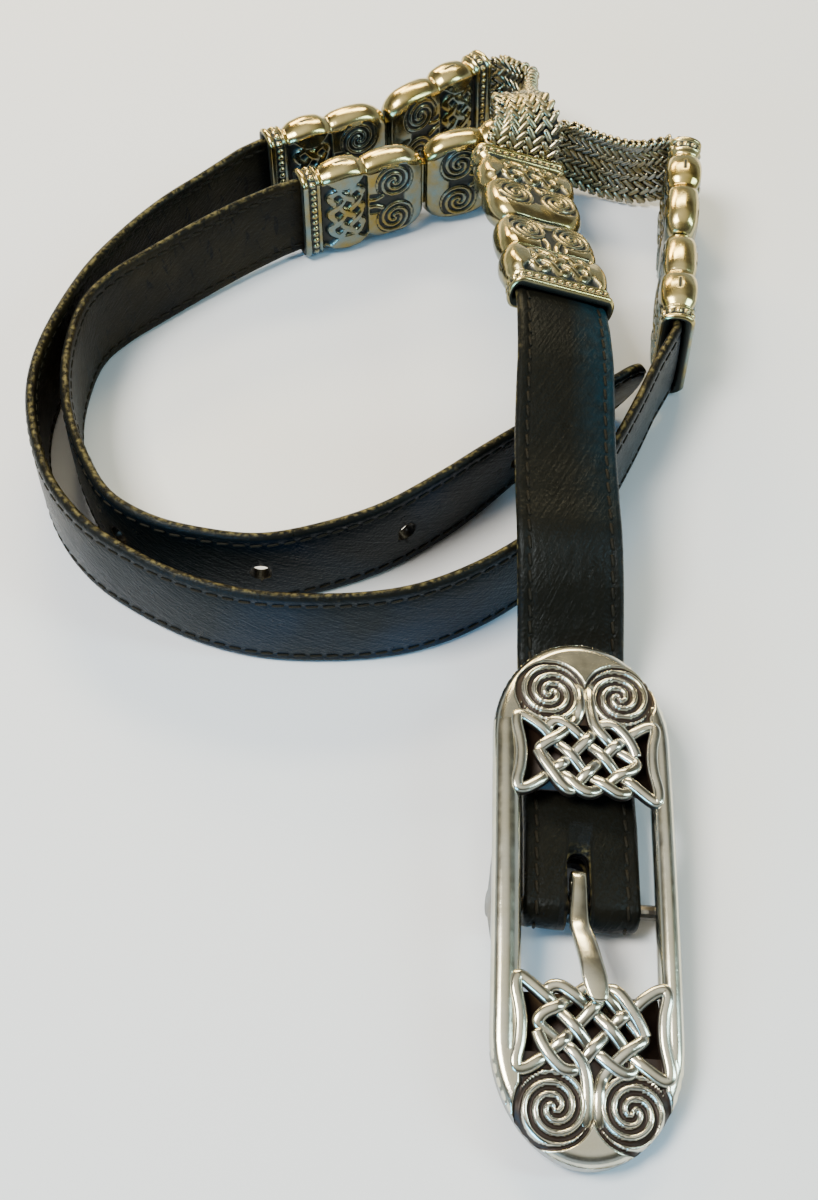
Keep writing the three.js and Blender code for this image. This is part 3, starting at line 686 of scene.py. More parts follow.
def cap_relief(s, z):
    """Height of the decorated face against the polished body, and how much painted shade its hollows get.
    """
    plaited, plait_dark = cap_plait(s, z)
    spirals, spiral_dark = cap_spirals(s, z)
    total = np.where(s < CAP_WAIST, plaited, spirals)
    cavity = np.where(s < CAP_WAIST, plait_dark, spiral_dark)
    lobe = np.clip(1 - ((np.abs(z) - 5.0) / 6.0) ** 2 - ((s - CAP_SPIRAL_AT[0]) / 8.0) ** 2, 0, 1)
    belly = np.clip(1 - (z / 9.0) ** 2 - ((s - CAP_PLAIT_MIDDLE) / 6.5) ** 2, 0, 1)
    return total + (0.45 * lobe + 0.35 * belly), cavity


def cap_plait(s, z):
    """Plait of the broad part, in a sunk panel that widens towards both its ends."""
    arch = 6.7 + 2.9 * np.clip(np.abs(s - CAP_PLAIT_MIDDLE) / 5.1, 0, 1) ** 2
    inside = ramp(arch - np.abs(z), 0.0, 0.5) * ramp(s, COLLAR_END, COLLAR_END + 0.4)
    inside = inside * ramp(CAP_WAIST - s, 0.0, 0.5)
    plait = plait_samples(**CAP_PLAIT)
    strands = strand_height(s - CAP_PLAIT_MIDDLE, z, plait, CAP_STRAND_HALF, CAP_STRAND_SWING)
    # The panel between the strands gets painted shade.
    return inside * (-CAP_PLAIT_DEEP + 0.85 * strands), inside * (1 - ramp(strands, 0.3, 0.75))


def cap_spirals(s, z):
    """Two spirals of the rounded end, with the stems that lead to them."""
    x0, z0 = CAP_SPIRAL_AT
    ground = ramp(3.0 - np.abs(z), 0, 0.6) * ramp(s, CAP_WAIST, CAP_WAIST + 0.5)
    ground = ground * ramp(x0 + 3.0 - s, 0, 1.2)
    height, shade = -CAP_GROUND_DEEP * ground, ground
    for side in (-1, 1):
        x, y = s - x0, side * z - z0
        ridge, disc = spiral_height(x, y, CAP_SPIRAL_RADIUS, CAP_SPIRAL_PITCH)
        rim = ramp(CAP_SPIRAL_RADIUS + 0.35 - np.hypot(x, y), 0, 0.3)
        height = np.where(disc, -CAP_SPIRAL_DEEP * (1 - ridge), np.minimum(height, -CAP_GROUND_DEEP * rim))
        shade = np.where(disc, 0.95 * (1 - ridge), np.maximum(shade, rim))
    for side in (-1, 1):
        line = line_height(s, z, [(along, side * across) for along, across in CAP_STEM], CAP_STEM_HALF)
        height = np.maximum(height, np.where(line > 0, -CAP_GROUND_DEEP + 0.6 * line, -9))
        shade = shade * (1 - ramp(line, 0.2, 0.7))
    return height, shade


def cap_ring(half, thick, corner):
    """Points round one section of a cap and their outward normals."""
    face = np.linspace(-1, 1, 82)
    turn = np.radians(np.linspace(90, -90, 23))[1:-1]
    corner = min(corner, thick - 0.05)
    top = np.column_stack([np.full(len(face), thick), (half - corner) * face])
    flat = np.sin(turn) * (thick - corner)
    edge = np.column_stack([np.sin(turn) * corner + flat, half - corner + np.cos(turn) * corner])
    top_normal = np.tile([1.0, 0.0], (len(face), 1))
    edge_normal = unit(np.column_stack([np.sin(turn) / thick, np.cos(turn) / corner]))
    ring, normal = np.vstack([top, edge]), np.vstack([top_normal, edge_normal])
    return np.vstack([ring, -ring]), np.vstack([normal, -normal])


def cap_body():
    """Rings of the polished body: places along the cap, points and normals."""
    table = np.array(CAP_BODY)
    places = np.unique(np.concatenate([np.arange(0, CAP_LENGTH, CAP_STEP), table[:, 0]]))
    places = places[np.concatenate([[True], np.diff(places) > 0.08])]
    along, half, thick = smooth_rows(table, 6).T
    rings = [cap_ring(np.interp(s, along, half), np.interp(s, along, thick), CAP_CORNER) for s in places]
    points, normals = (np.array(part) for part in zip(*rings))
    return np.repeat(places[:, None], points.shape[1], 1), points, normals


def bead_height(s, rings):
    """Height of the row of beads that goes round the mouth."""
    step = np.linalg.norm(np.diff(rings, axis=1), axis=2)
    round_place = np.concatenate([np.zeros((len(rings), 1)), np.cumsum(step, axis=1)], axis=1)
    whole = round_place[:, -1:] + np.linalg.norm(rings[:, :1] - rings[:, -1:], axis=2)
    beads = np.round(whole / BEAD_PITCH)
    q = (round_place / whole * beads) % 1.0 - 0.5
    d2 = (q * BEAD_PITCH) ** 2 + (s - BEAD_AT) ** 2
    return np.sqrt(np.clip(BEAD_RADIUS**2 - d2, 0, None))


def cap_mesh():
    """One cap along x from its mouth: points, faces, and where it gets painted shade or is decorated."""
    s, rings, normals = cap_body()
    on_face = np.abs(normals[:, :, 0]) > 0.999
    relief, cavity = cap_relief(s, rings[:, :, 1] * np.where(rings[:, :, 0] < 0, -1, 1))
    relief = np.where(on_face, relief, 0)
    cavity = np.where(on_face, cavity, 0)
    bead = bead_height(s, rings)
    relief = np.maximum(relief, np.where(bead > 0, bead - 0.05, -9))
    # Painted shade between the beads.
    cavity = np.where((s > BEAD_ROW[0]) & (s < BEAD_ROW[1]), 1 - ramp(bead, 0.1, 0.5), cavity)
    slit = ramp(SLIT_WIDE - np.abs(rings[:, :, 0]), 0.0, 0.4)
    slit = slit * ramp(SLIT_LONG - np.abs(s - SLIT_AT), 0.0, 0.5)
    relief = relief - SLIT_DEEP * slit
    # Painted shade in the slit.
    cavity = np.maximum(cavity, slit)
    count = rings.shape[1]
    outside = np.dstack([s, rings + normals * relief[:, :, None]])
    pocket = [np.column_stack([np.full(count, at), cap_ring(*size, 1.0)[0]]) for at, *size in CAP_POCKET]
    points = np.concatenate([pocket, outside])
    inner = np.zeros((len(pocket), count))
    # Painted shade inside the pocket.
    cavity = np.concatenate([inner + 0.9, cavity])
    decorated = np.concatenate([inner, on_face & (s > COLLAR_END)])
    values = {"cavity": cavity.ravel(), "decorated": decorated.ravel()}
    return points.reshape(-1, 3), ring_faces(len(points), count), values


def cap_pieces(material):
    """Eight caps in four hinged pairs, all from one mesh."""
    points, faces, values = cap_mesh()
    for name, pair in PAIRS.items():
        for kind, (origin, along, across) in pair.items():
            node = kind + "_cap_" + name
            placed = origin + points @ np.array([along, np.cross(across, along), across])
            new_piece(node + "_cast", placed, faces, material, "belt", [node], values)


# Woven metal bands

LINK_LENGTH = 3.3
LINK_WIDE = 1.45
LINK_HIGH = 0.9
LINK_PITCH = 2.05
LINK_ROWS = 8
LINK_SLANT = 38
LOOP_WIRE = 0.95
# Section of the dark core: part of the half width, and height
MESH_CORE = np.array([
    (-1, -0.3), (-1, 0.3), (-0.9, 0.55), (0.9, 0.55), (1, 0.3), (1, -0.3), (0.9, -0.55), (-0.9, -0.55),
])


def mesh_core(batch, band):
    """Core that fills the band between its links, painted fully dark as shade."""
    wide = (band.half - 0.7)[:, None] * MESH_CORE[:, 0]
    points = swept(band.centre, band.across, band.normal, wide, MESH_CORE[None, :, 1])
    batch.add(points, ring_faces(len(band.centre), len(MESH_CORE)), cavity=1.0)


def link_row(batch, band, face, row, link, rng):
    """One row of slanting links on a face; odd rows slant the other way and lie half a link on."""
    odd = row % 2
    s = np.arange(1.0, band.along[-1] - 0.8, LINK_PITCH)
    centre, ahead, across, normal, half = band.at(np.minimum(s + LINK_PITCH * 0.5 * odd, band.along[-1]))
    middle_row = (LINK_ROWS - 1) / 2
    origin = centre + across * ((half - 1.35) * ((row - middle_row) / middle_row))[:, None]
    x, y = slanted(ahead, across, LINK_SLANT if odd else -LINK_SLANT)
    y = y * face
    out = normal * face
    x = unit(x + out * 0.13 + rng.normal(0, 0.015, x.shape))
    batch.copies(*link, origin + out * 0.8, x, y, unit(np.cross(x, y)), cavity=0.0)


def edge_loops(batch, band):
    """Rounded wire loops along both edges."""
    ring = [(0.85 * x, 0.0, z) for x, z in arc(0, 0, 1.0, range(0, 360, 30))]
    wire = tube(ring, LOOP_WIRE, LOOP_WIRE, 8, True, np.array([0.0, 1.0, 0.0]))
    centre, ahead, across, normal, half = band.at(np.arange(0.9, band.along[-1] - 0.6, LINK_PITCH))
    tip = unit(normal * 0.92 + ahead * 0.4)
    for side in (-1, 1):
        origin = centre + across * (side * (half - 0.75))[:, None]
        batch.copies(*wire, origin, unit(across + ahead * 0.3), -ahead, tip, cavity=0.0)


def mesh_links(name, node, band, material, seed):
    """Herringbone rows of links over both faces of a dark core, with loops along the edges."""
    rng = np.random.default_rng(seed)
    batch = Batch()
    mesh_core(batch, band)
    link = sausage(LINK_LENGTH, LINK_WIDE, LINK_HIGH, 8, 7)
    for face in (-1, 1):
        for row in range(LINK_ROWS):
            link_row(batch, band, face, row, link, rng)
    edge_loops(batch, band)
    return batch.piece(name, material, "belt", [node], "mesh_metal")


# Buckle

PLATE_FROM = 29.0
PLATE_ROUNDING = 2.0
PLATE_SPIRAL_AT = (6.2, 36.2)
PLATE_SPIRAL_RADIUS = 5.75
PLATE_SPIRAL_PITCH = 1.78
PLATE_SPIRAL_START = 2.4
PLATE_GROUND_DEEP = 0.95
PLATE_SPIRAL_DEEP = 0.85
# Section of a rail: part of its half width, and height
RAIL = [
    (-1, -0.2), (-0.93, 0.5), (-0.7, 1.2), (-0.35, 1.7), (0.05, 1.9), (0.45, 1.78), (0.78, 1.3),
    (0.96, 0.5), (1.0, -0.4), (0.94, -1.3), (0.7, -1.9), (-0.7, -1.9), (-0.94, -1.3),
]
RAIL_END = 34.0


def end_outline(angles):
    """Half width and place along of the buckle's rounded end."""
    round_middle = BUCKLE_HALF_LENGTH - BUCKLE_END
    return BUCKLE_HALF_WIDTH * np.cos(angles), round_middle + BUCKLE_END * np.sin(angles)


def end_plate(batch, direction):
    """Solid end of the buckle with its two spirals in relief."""
    low = math.asin((PLATE_FROM - (BUCKLE_HALF_LENGTH - BUCKLE_END)) / BUCKLE_END)
    half, v = end_outline(np.linspace(low, math.pi / 2 - 0.004, 84))
    u = half[:, None] * np.linspace(-1, 1, 150)
    rows, cols = u.shape
    v = np.repeat(v[:, None], cols, 1)
    edge = np.full(u.shape, 99.0)
    for a, b in zip(*end_outline(np.linspace(-0.2, math.pi + 0.2, 240))):
        edge = np.minimum(edge, np.hypot(u - a, v - b))
    inner = np.clip(PLATE_ROUNDING - edge, 0, PLATE_ROUNDING)
    w = PLATE_HALF_THICK - (PLATE_ROUNDING - np.sqrt(PLATE_ROUNDING**2 - inner**2)) * 0.9
    across, along = DECOR_SHIFT
    relief, cavity = plate_relief(direction * (u - across), v - direction * along)
    top = np.column_stack([u.ravel(), (direction * v).ravel(), (w + relief).ravel()])
    batch.on_buckle(top, grid_faces(rows, cols, direction > 0), cavity.ravel())
    grid = np.arange(rows * cols).reshape(rows, cols)
    border = np.concatenate([grid[0], grid[1:, -1], grid[-1, -2::-1], grid[-2:0:-1, 0]])
    plate_wall(batch, top[border], direction)


def plate_wall(batch, rim, direction):
    """Edge and underside of an end plate, below the rim of its top."""
    lower, inward = rim.copy(), rim.copy()
    lower[:, 2] = np.minimum(rim[:, 2], -PLATE_HALF_THICK + 0.7)
    inward[:, 0] *= 0.95
    inward[:, 2] = -PLATE_HALF_THICK
    count = len(rim)
    faces = ring_faces(3, count, caps=False) + [list(range(2 * count, 3 * count))]
    # Slight painted shade on the edge and underside.
    batch.on_buckle(np.vstack([rim, lower, inward]), flipped(faces, direction > 0), 0.15)


def grid_faces(rows, cols, up):
    i, j = np.meshgrid(np.arange(rows - 1), np.arange(cols - 1), indexing="ij")
    a = (i * cols + j).ravel()
    quads = np.column_stack([a, a + 1, a + cols + 1, a + cols])
    return (quads if up else quads[:, ::-1]).tolist()


def plate_relief(u, v):
    """Spirals of an end plate: height and painted shade in the sunk ground and grooves, from the plate's
    own middle line.
    """
    x0, y0 = PLATE_SPIRAL_AT
    ground = ramp(y0 - 2.4 - v, 0, 0.7) * ramp(11.9 - np.abs(u), 0, 0.7)
    wedge = ramp(1.3 - np.abs(u), 0, 0.6) * ramp(y0 + 1.5 - v, 0, 1.5)
    dark = np.maximum(ground, wedge)
    height = -PLATE_GROUND_DEEP * dark
    for side in (-1, 1):
        x, y = side * u - x0, v - y0
        ridge, disc = spiral_height(x, y, PLATE_SPIRAL_RADIUS, PLATE_SPIRAL_PITCH, PLATE_SPIRAL_START)
        groove = ramp(PLATE_SPIRAL_RADIUS + 0.75 - np.hypot(x, y), 0, 0.25)
        flat = np.minimum(height, -PLATE_SPIRAL_DEEP * groove)
        height = np.where(disc, -PLATE_SPIRAL_DEEP * (1 - ridge), flat)
        dark = np.where(disc, 1 - ramp(ridge, 0.1, 0.55), np.maximum(dark, groove))
    return height, dark


def rails(batch):
    """Long sides of the buckle, domed on top and dipping under the end plates."""
    section = smooth_rows(RAIL + RAIL[:1], 4)[:-1]
    v = np.linspace(-RAIL_END, RAIL_END, 110)
    bulge = np.clip((np.abs(v) - (BUCKLE_HALF_LENGTH - BUCKLE_END)) / BUCKLE_END, 0, 1)
    outer = BUCKLE_HALF_WIDTH * np.sqrt(1 - bulge**2)
    w = section[None, :, 1] * (1 - 0.28 * ramp(np.abs(v), 28.5, RAIL_END))[:, None]
    for side in (-1, 1):
        inner = WINDOW_HALF + side * DECOR_SHIFT[0]
        u = side * ((outer + inner)[:, None] / 2 + (outer - inner)[:, None] / 2 * section[:, 0])
        points = np.dstack([u, np.repeat(v[:, None], len(section), 1), w])
        faces = flipped(ring_faces(len(v), len(section)), side < 0)
        batch.on_buckle(points.reshape(-1, 3), faces, 0.0)


# Pierced plait: spacing of its columns and rows, size of its strands, and the plate behind it
PLAIT_COLUMN = 2.85
PLAIT_ROW = 3.15
PLAIT_SIZE = (2.2, 2.3)
PLAIT_SIDES = 16
KNOT_GROUND = [(-11.2, 17.9), (11.2, 17.9), (12.4, 30.6), (-12.4, 30.6)]
KNOT_GROUND_BOTTOM = -1.5
KNOT_GROUND_TOP = -0.75
# Its strands: column, row and rise over or under the others
LEFT_STRAND = [
    (5.5, 3.45, -1.0), (5.45, 3.95, -0.2), (4.85, 4.1, 0.4), (3.9, 3.6, 0.6), (3, 3, -1.0), (2, 2, 1.0),
    (1, 1, -0.9), (0.2, 0.3, 0.5), (-0.8, -0.3, 0.6), (-1.25, -0.3, 0.7), (-1.33, 0.2, 0.8),
    (-1.12, 1.2, 0.8), (-1.05, 2, 0.8), (-1.12, 2.9, 0.8), (-1.32, 3.75, 0.8), (-1.2, 4.15, 0.6),
    (-0.7, 4.1, 0.4), (0.1, 3.6, 0.1), (0.75, 3.0, -0.9), (1.4, 2.6, 1.0), (2, 2, -1.0), (3, 1, 1.0),
    (3.6, 0.3, -0.9), (4.1, -0.1, 0.3), (4.75, -0.05, 0.7), (5.35, 0.45, 0.9), (5.85, 1.15, 0.5),
    (6.1, 1.75, -0.1),
]
RIGHT_STRAND = [
    (0.7, 0.75, -1.0), (0.7, 0.15, -0.3), (1.15, -0.15, 0.5), (1.9, 0.15, 0.8), (2.5, 0.6, 0.4),
    (3, 1, -1.0), (4, 2, 1.0), (5, 3, -1.0), (5.6, 3.45, 0.8), (6.85, 4.35, 0.6), (7.25, 4.4, 0.7),
    (7.33, 3.8, 0.8), (7.12, 2.8, 0.8), (7.05, 2, 0.8), (7.12, 1.1, 0.8), (7.32, 0.25, 0.8),
    (7.2, -0.15, 0.6), (6.7, -0.1, 0.4), (6.0, 0.3, 0.1), (5.4, 0.75, -0.9), (4.75, 1.25, 1.0),
    (4, 2, -1.0), (3, 3, 1.0), (2.4, 3.65, -0.8), (1.95, 4.05, -0.1), (1.45, 3.85, 0.6),
    (0.85, 3.15, 0.9), (0.3, 2.35, 0.5), (0.0, 1.75, 0.0),
]
STEM_STRAND = [
    (2.62, -3.0, -3.0), (2.64, -2.3, -0.6), (2.66, -1.2, 0.3), (2.4, -0.35, -0.5), (1.6, 0.5, 0.5),
    (1, 1, 1.0), (0.3, 1.45, 0.5), (0.15, 1.75, -0.5), (0.7, 2.4, -1.0), (1.3, 2.9, -1.0), (1.9, 3.45, 0.3),
    (2.55, 4.0, 0.5), (3.15, 4.15, 0.3), (3.8, 3.8, -0.7), (4.4, 3.4, -1.0), (5, 3, 1.0),
    (5.75, 2.65, 0.7), (6.05, 2.2, 0.0), (5.5, 1.75, -0.6), (4.75, 1.3, -1.0), (4.15, 0.8, 1.0),
    (3.55, 0.05, 1.0), (3.33, -1.0, 0.4), (3.36, -2.3, -0.6), (3.38, -3.0, -3.0),
]


def decor_place(direction, x, y, w):
    """Points of the ornament at one of the buckle's two ends."""
    across, along = DECOR_SHIFT
    return np.column_stack([across + direction * x, along + direction * y, w])


def knot(batch, direction):
    """Pierced plait between the rails, framed by its outer strands."""
    for strand in (LEFT_STRAND, RIGHT_STRAND, STEM_STRAND):
        column, row, rise = smooth_rows(strand, 7).T
        w = 0.75 + 0.5 * rise
        path = decor_place(direction, (column - 3) * PLAIT_COLUMN, KNOT_ALONG + (2 - row) * PLAIT_ROW, w)
        points, faces = tube(path, *PLAIT_SIZE, PLAIT_SIDES, False, UP, 0.72)
        # Painted shade on the undersides of the strands and deeper down.
        dark = 1 - ramp(points[:, 2] - np.repeat(w, PLAIT_SIDES), 0.2, 1.0)
        low = 1 - ramp(points[:, 2], 0.3, 1.3)
        batch.on_buckle(points, faces, np.maximum(dark, low))


def knot_ground(batch, direction):
    """Sunk plate behind the plait, painted fully dark as shade."""
    x, y = np.array(KNOT_GROUND * 2).T
    points = decor_place(direction, x, y, [KNOT_GROUND_BOTTOM] * 4 + [KNOT_GROUND_TOP] * 4)
    batch.on_buckle(points, ring_faces(2, 4), 1.0)


def ears(batch):
    """Three-cornered ears under the rails that carry the bar."""
    outline = np.array([(-18.0, -0.8), *arc(BAR_ALONG, -BAR_DROP, 2.8, range(200, 345, 12)), (15.0, -0.8)])
    middle = outline.mean(axis=0)
    for side in (-1, 1):
        rings = []
        for thick, shrink in ((0.0, 0.93), (0.35, 1.0), (1.65, 1.0), (2.0, 0.93)):
            flat = middle + (outline - middle) * shrink
            u = 12.6 + thick + 0.15 * (-0.6 - flat[:, 1])
            rings.append(np.column_stack([side * u, flat]))
        # Painted shade on the ears under the rails.
        batch.on_buckle(np.vstack(rings), flipped(ring_faces(4, len(outline)), side < 0), 0.35)


def buckle_piece(material):
    batch = Batch()
    for direction in (-1, 1):
        end_plate(batch, direction)
        knot(batch, direction)
        knot_ground(batch, direction)
    rails(batch)
    ears(batch)
    return batch.piece("buckle_cast", material, "belt", ["buckle_frame"], "buckle_metal")


def prong_piece(material):
    """Flat prong with rounded edges, curled round the bar."""
    rows = smooth_rows(PRONG_PATH, 8)
    centre = rows[:, :3]
    across = np.tile([1.0, 0, 0], (len(rows), 1))
    normal = unit(np.cross(unit(np.gradient(centre, axis=0)), across))
    sides = 20
    x, y = rounded_square(sides, 0.45, 0.7)
    end = np.linspace(0, 1, 6)
    taper = np.ones(len(rows))
    taper[-len(end):] = np.sqrt(np.clip(1 - end**2, 0.12, 1))
    blade = swept(centre, across, normal, (rows[:, 3] * taper)[:, None] * x, 0.7 * taper[:, None] * y)
    batch = Batch()
    batch.add(from_buckle(blade), ring_faces(len(rows), sides), cavity=0.0)
    turn = np.radians(np.linspace(-35, 250, 30))
    ahead, up = BAR_ALONG - CURL_RADIUS * np.cos(turn), CURL_RADIUS * np.sin(turn) - BAR_DROP
    curl = np.column_stack([np.full(30, SLOT_MIDDLE), ahead, up])
    points, faces = tube(curl, 1.4, 2.6, 10, False, np.array([1.0, 0, 0]))
    # Painted shade on the curl round the bar.
    batch.add(from_buckle(points), faces, cavity=0.3)
    return batch.piece("prong_blade", material, "prong", ["buckle_prong"], "buckle_metal")


# Materials


class Nodes:
    """Short ways to add and join shader nodes."""

    def __init__(self, name):
        self.material = bpy.data.materials.new(name)
        self.material.use_nodes = True
        self.tree = self.material.node_tree
        self.tree.nodes.clear()
        self.shader = self.tree.nodes.new("ShaderNodeBsdfPrincipled")
        out = self.tree.nodes.new("ShaderNodeOutputMaterial")
        self.feed(out.inputs["Surface"], self.shader.outputs["BSDF"])

    def feed(self, target, value):
        """Joins a socket to an input, or gives the input a colour or a number."""
        if hasattr(value, "links"):
            self.tree.links.new(value, target)
        elif target.type == "RGBA":
            target.default_value = (*value, 1.0)
        else:
            target.default_value = value

    def node(self, kind, output, inputs=None, **settings):
        """One output of a new node."""
        node = self.tree.nodes.new("ShaderNode" + kind)
        for name, value in settings.items():
            setattr(node, name, value)
        for name, value in (inputs or {}).items():
            self.feed(node.inputs[name], value)
        return node.outputs[output]

    def value(self, name):
        return self.node("Attribute", "Fac", attribute_name=name)

    def place(self, scale=(1, 1, 1), turn=(0, 0, 0)):
        coord = self.node("TexCoord", "Object")
        return self.node("Mapping", "Vector", {"Vector": coord, "Scale": scale, "Rotation": turn})

    def noise(self, scale, detail=4.0, rough=0.55, vector=None, distortion=0.0):
        inputs = {"Scale": scale, "Detail": detail, "Roughness": rough, "Distortion": distortion}
        return self.node("TexNoise", "Fac", {**inputs, "Vector": vector or self.place()})

    def cells(self, scale):
        return self.node("TexVoronoi", "Distance", {"Scale": scale, "Vector": self.place()})

    def up(self):
        """How far the surface faces upwards, from -1 to 1."""
        return self.node("SeparateXYZ", "Z", {"Vector": self.node("TexCoord", "Normal")})

    def combine(self, x, y, z):
        return self.node("CombineXYZ", "Vector", {"X": x, "Y": y, "Z": z})

    def math(self, operation, a, b=0.0, c=0.0):
        return self.node("Math", "Value", {0: a, 1: b, 2: c}, operation=operation)

    def times(self, a, b, plus=None):
        """a times b, and something more if it is given."""
        return self.math("MULTIPLY", a, b) if plus is None else self.math("MULTIPLY_ADD", a, b, plus)

    def ramp(self, value, low, high, to_low=0.0, to_high=1.0):
        inputs = {"From Min": low, "From Max": high, "To Min": to_low, "To Max": to_high, "Value": value}
        return self.node("MapRange", "Result", inputs)

    def mix(self, share, a, b):
        return self.node("Mix", "Result", {"Factor": share, "A": a, "B": b}, data_type="RGBA")

    def bump(self, height, strength, distance):
        inputs = {"Strength": strength, "Distance": distance, "Height": height}
        return self.node("Bump", "Normal", inputs)

    def surface(self, color, rough, metal=None, bump=None):
        inputs = {"Base Color": color, "Roughness": rough, "Metallic": metal, "Normal": bump}
        for name, value in inputs.items():
            if value is not None:
                self.feed(self.shader.inputs[name], value)
        return self.material


def strap_leather():
    """Black outer leather with fine grain and creases, brown lining, dark cut edges with painted olive gold
    highlight speckles.
    """
    n = Nodes("strap_leather")
    side, along, cross = n.value("side"), n.value("along"), n.value("cross")
    lining = n.ramp(side, -0.9, -0.4, 1.0, 0.0)
    color = n.mix(n.ramp(side, 0.0, 0.5), leather_edge(n), leather_face(n, along, cross))
    color = n.mix(lining, color, leather_lining(n, along, cross, side))
    # Painted tan highlight speckles along the strap's rounded rims.
    rim_highlight_speckle = n.ramp(n.noise(300, 5), 0.62, 0.78, 0.0, 0.5)
    rim = n.ramp(n.math("ABSOLUTE", cross), 9.0, 9.9)
    color = n.mix(n.times(rim_highlight_speckle, rim), color, (0.20, 0.155, 0.07))
    # Walls of the holes and the slot painted near black as shade.
    color = n.mix(n.ramp(n.value("cut"), 0.9, 1.0), color, (0.004, 0.003, 0.002))
    flow = n.combine(n.times(along, 0.16), n.times(cross, 0.7), side)
    slant = n.combine(n.times(cross, 0.9, n.times(along, 0.5)), n.times(along, 0.06), side)
    crease, fine = n.noise(1.0, 6, 0.7, flow, 0.8), n.noise(1.2, 5, 0.65, slant, 0.4)
    height = n.times(n.cells(1500), 0.25, n.times(crease, 0.5, n.times(fine, 0.7)))
    rough = n.times(lining, 0.12, n.times(n.noise(220, 5), 0.2, 0.2))
    n.shader.inputs["Specular IOR Level"].default_value = 0.10
    n.shader.inputs["Specular Tint"].default_value = (0.78, 0.90, 1.0, 1.0)
    return n.surface(color, rough, None, n.bump(height, 0.7, 0.00035))


def leather_face(n, along, cross):
    """Black with random bluish patches; painted blue reflection in patches where it stands, a painted olive
    brown tone and a painted teal sheen where it lies.
    """
    patch = n.noise(60, 3)
    black = n.mix(patch, (0.0015, 0.0025, 0.003), (0.004, 0.007, 0.008))
    # Painted blue reflection in patches on the standing faces.
    sheen = n.ramp(n.noise(22, 3, 0.5, None, 0.6), 0.46, 0.68)
    standing = n.ramp(n.math("ABSOLUTE", n.up()), 0.15, 0.6, 1.0, 0.0)
    black = n.mix(n.times(sheen, standing), black, (0.002, 0.013, 0.028))
    # Lying faces get a painted olive brown tone in place of the bluish black.
    lying = n.math("SUBTRACT", 1.0, standing)
    black = n.mix(lying, black, n.mix(patch, (0.005, 0.0048, 0.0035), (0.009, 0.008, 0.005)))
    # Painted teal sheen on the right of the lying part, fading along the strap.
    shine = n.times(n.ramp(cross, 0.5, 10.0), n.ramp(along, 14.0, 66.0, 1.0, 0.0))
    shine = n.times(n.times(shine, lying), n.ramp(n.noise(500, 5, 0.7), 0.3, 0.65, 0.25, 1.0))
    return n.mix(shine, black, (0.004, 0.030, 0.046))


def leather_lining(n, along, cross, side):
    """Brown with painted shade in wrinkles along the strap."""
    brown = n.mix(n.ramp(n.noise(45, 5), 0.35, 0.7), (0.003, 0.0022, 0.0012), (0.022, 0.0145, 0.0045))
    folds = n.combine(n.times(along, 0.55), n.times(cross, 0.13), side)
    wrinkle_shade = n.ramp(n.noise(1.0, 3, 0.6, folds, 1.2), 0.60, 0.66)
    return n.mix(n.times(wrinkle_shade, 0.9), brown, (0.0015, 0.001, 0.0007))


# Cut edges: dark, with painted olive gold highlight speckles.
def leather_edge(n):
    return n.mix(n.ramp(n.noise(800, 5), 0.46, 0.66), (0.005, 0.004, 0.002), (0.150, 0.118, 0.042))


def thread():
    n = Nodes("stitch_thread")
    color = n.mix(n.noise(400, 3), (0.004, 0.004, 0.003), (0.024, 0.019, 0.010))
    place = n.place(turn=(0.4, 0.2, 0.6))
    twist = n.node("TexWave", "Fac", {"Scale": 900, "Distortion": 1.5, "Vector": place})
    n.shader.inputs["Specular IOR Level"].default_value = 0.1
    return n.surface(color, n.times(n.noise(500, 2), 0.2, 0.45), None, n.bump(twist, 0.5, 0.0001))


# Metals: bright and warm tones of the painted top light, painted cool shade of the sides, painted shade of
# the hollows, then low and high roughness
CAP_METAL = ((0.78, 0.64, 0.29), (0.58, 0.43, 0.12), (0.13, 0.18, 0.18), (0.012, 0.014, 0.010), 0.13, 0.28)
MESH_METAL = ((0.64, 0.56, 0.36), (0.46, 0.37, 0.17), (0.20, 0.21, 0.20), (0.008, 0.007, 0.005), 0.2, 0.36)
BUCKLE_METAL = ((0.90, 0.86, 0.69), (0.82, 0.74, 0.50), (0.32, 0.37, 0.39), (0.02, 0.01, 0.005), 0.12, 0.24)
# Dark bar metal: painted shade where the bar lies under the strap's fold.
SHADED_BAR_METAL = ((0.20, 0.18, 0.15), (0.14, 0.12, 0.09), (0.08, 0.08, 0.08), (0.02, 0.015, 0.01), 0.25, 0.40)


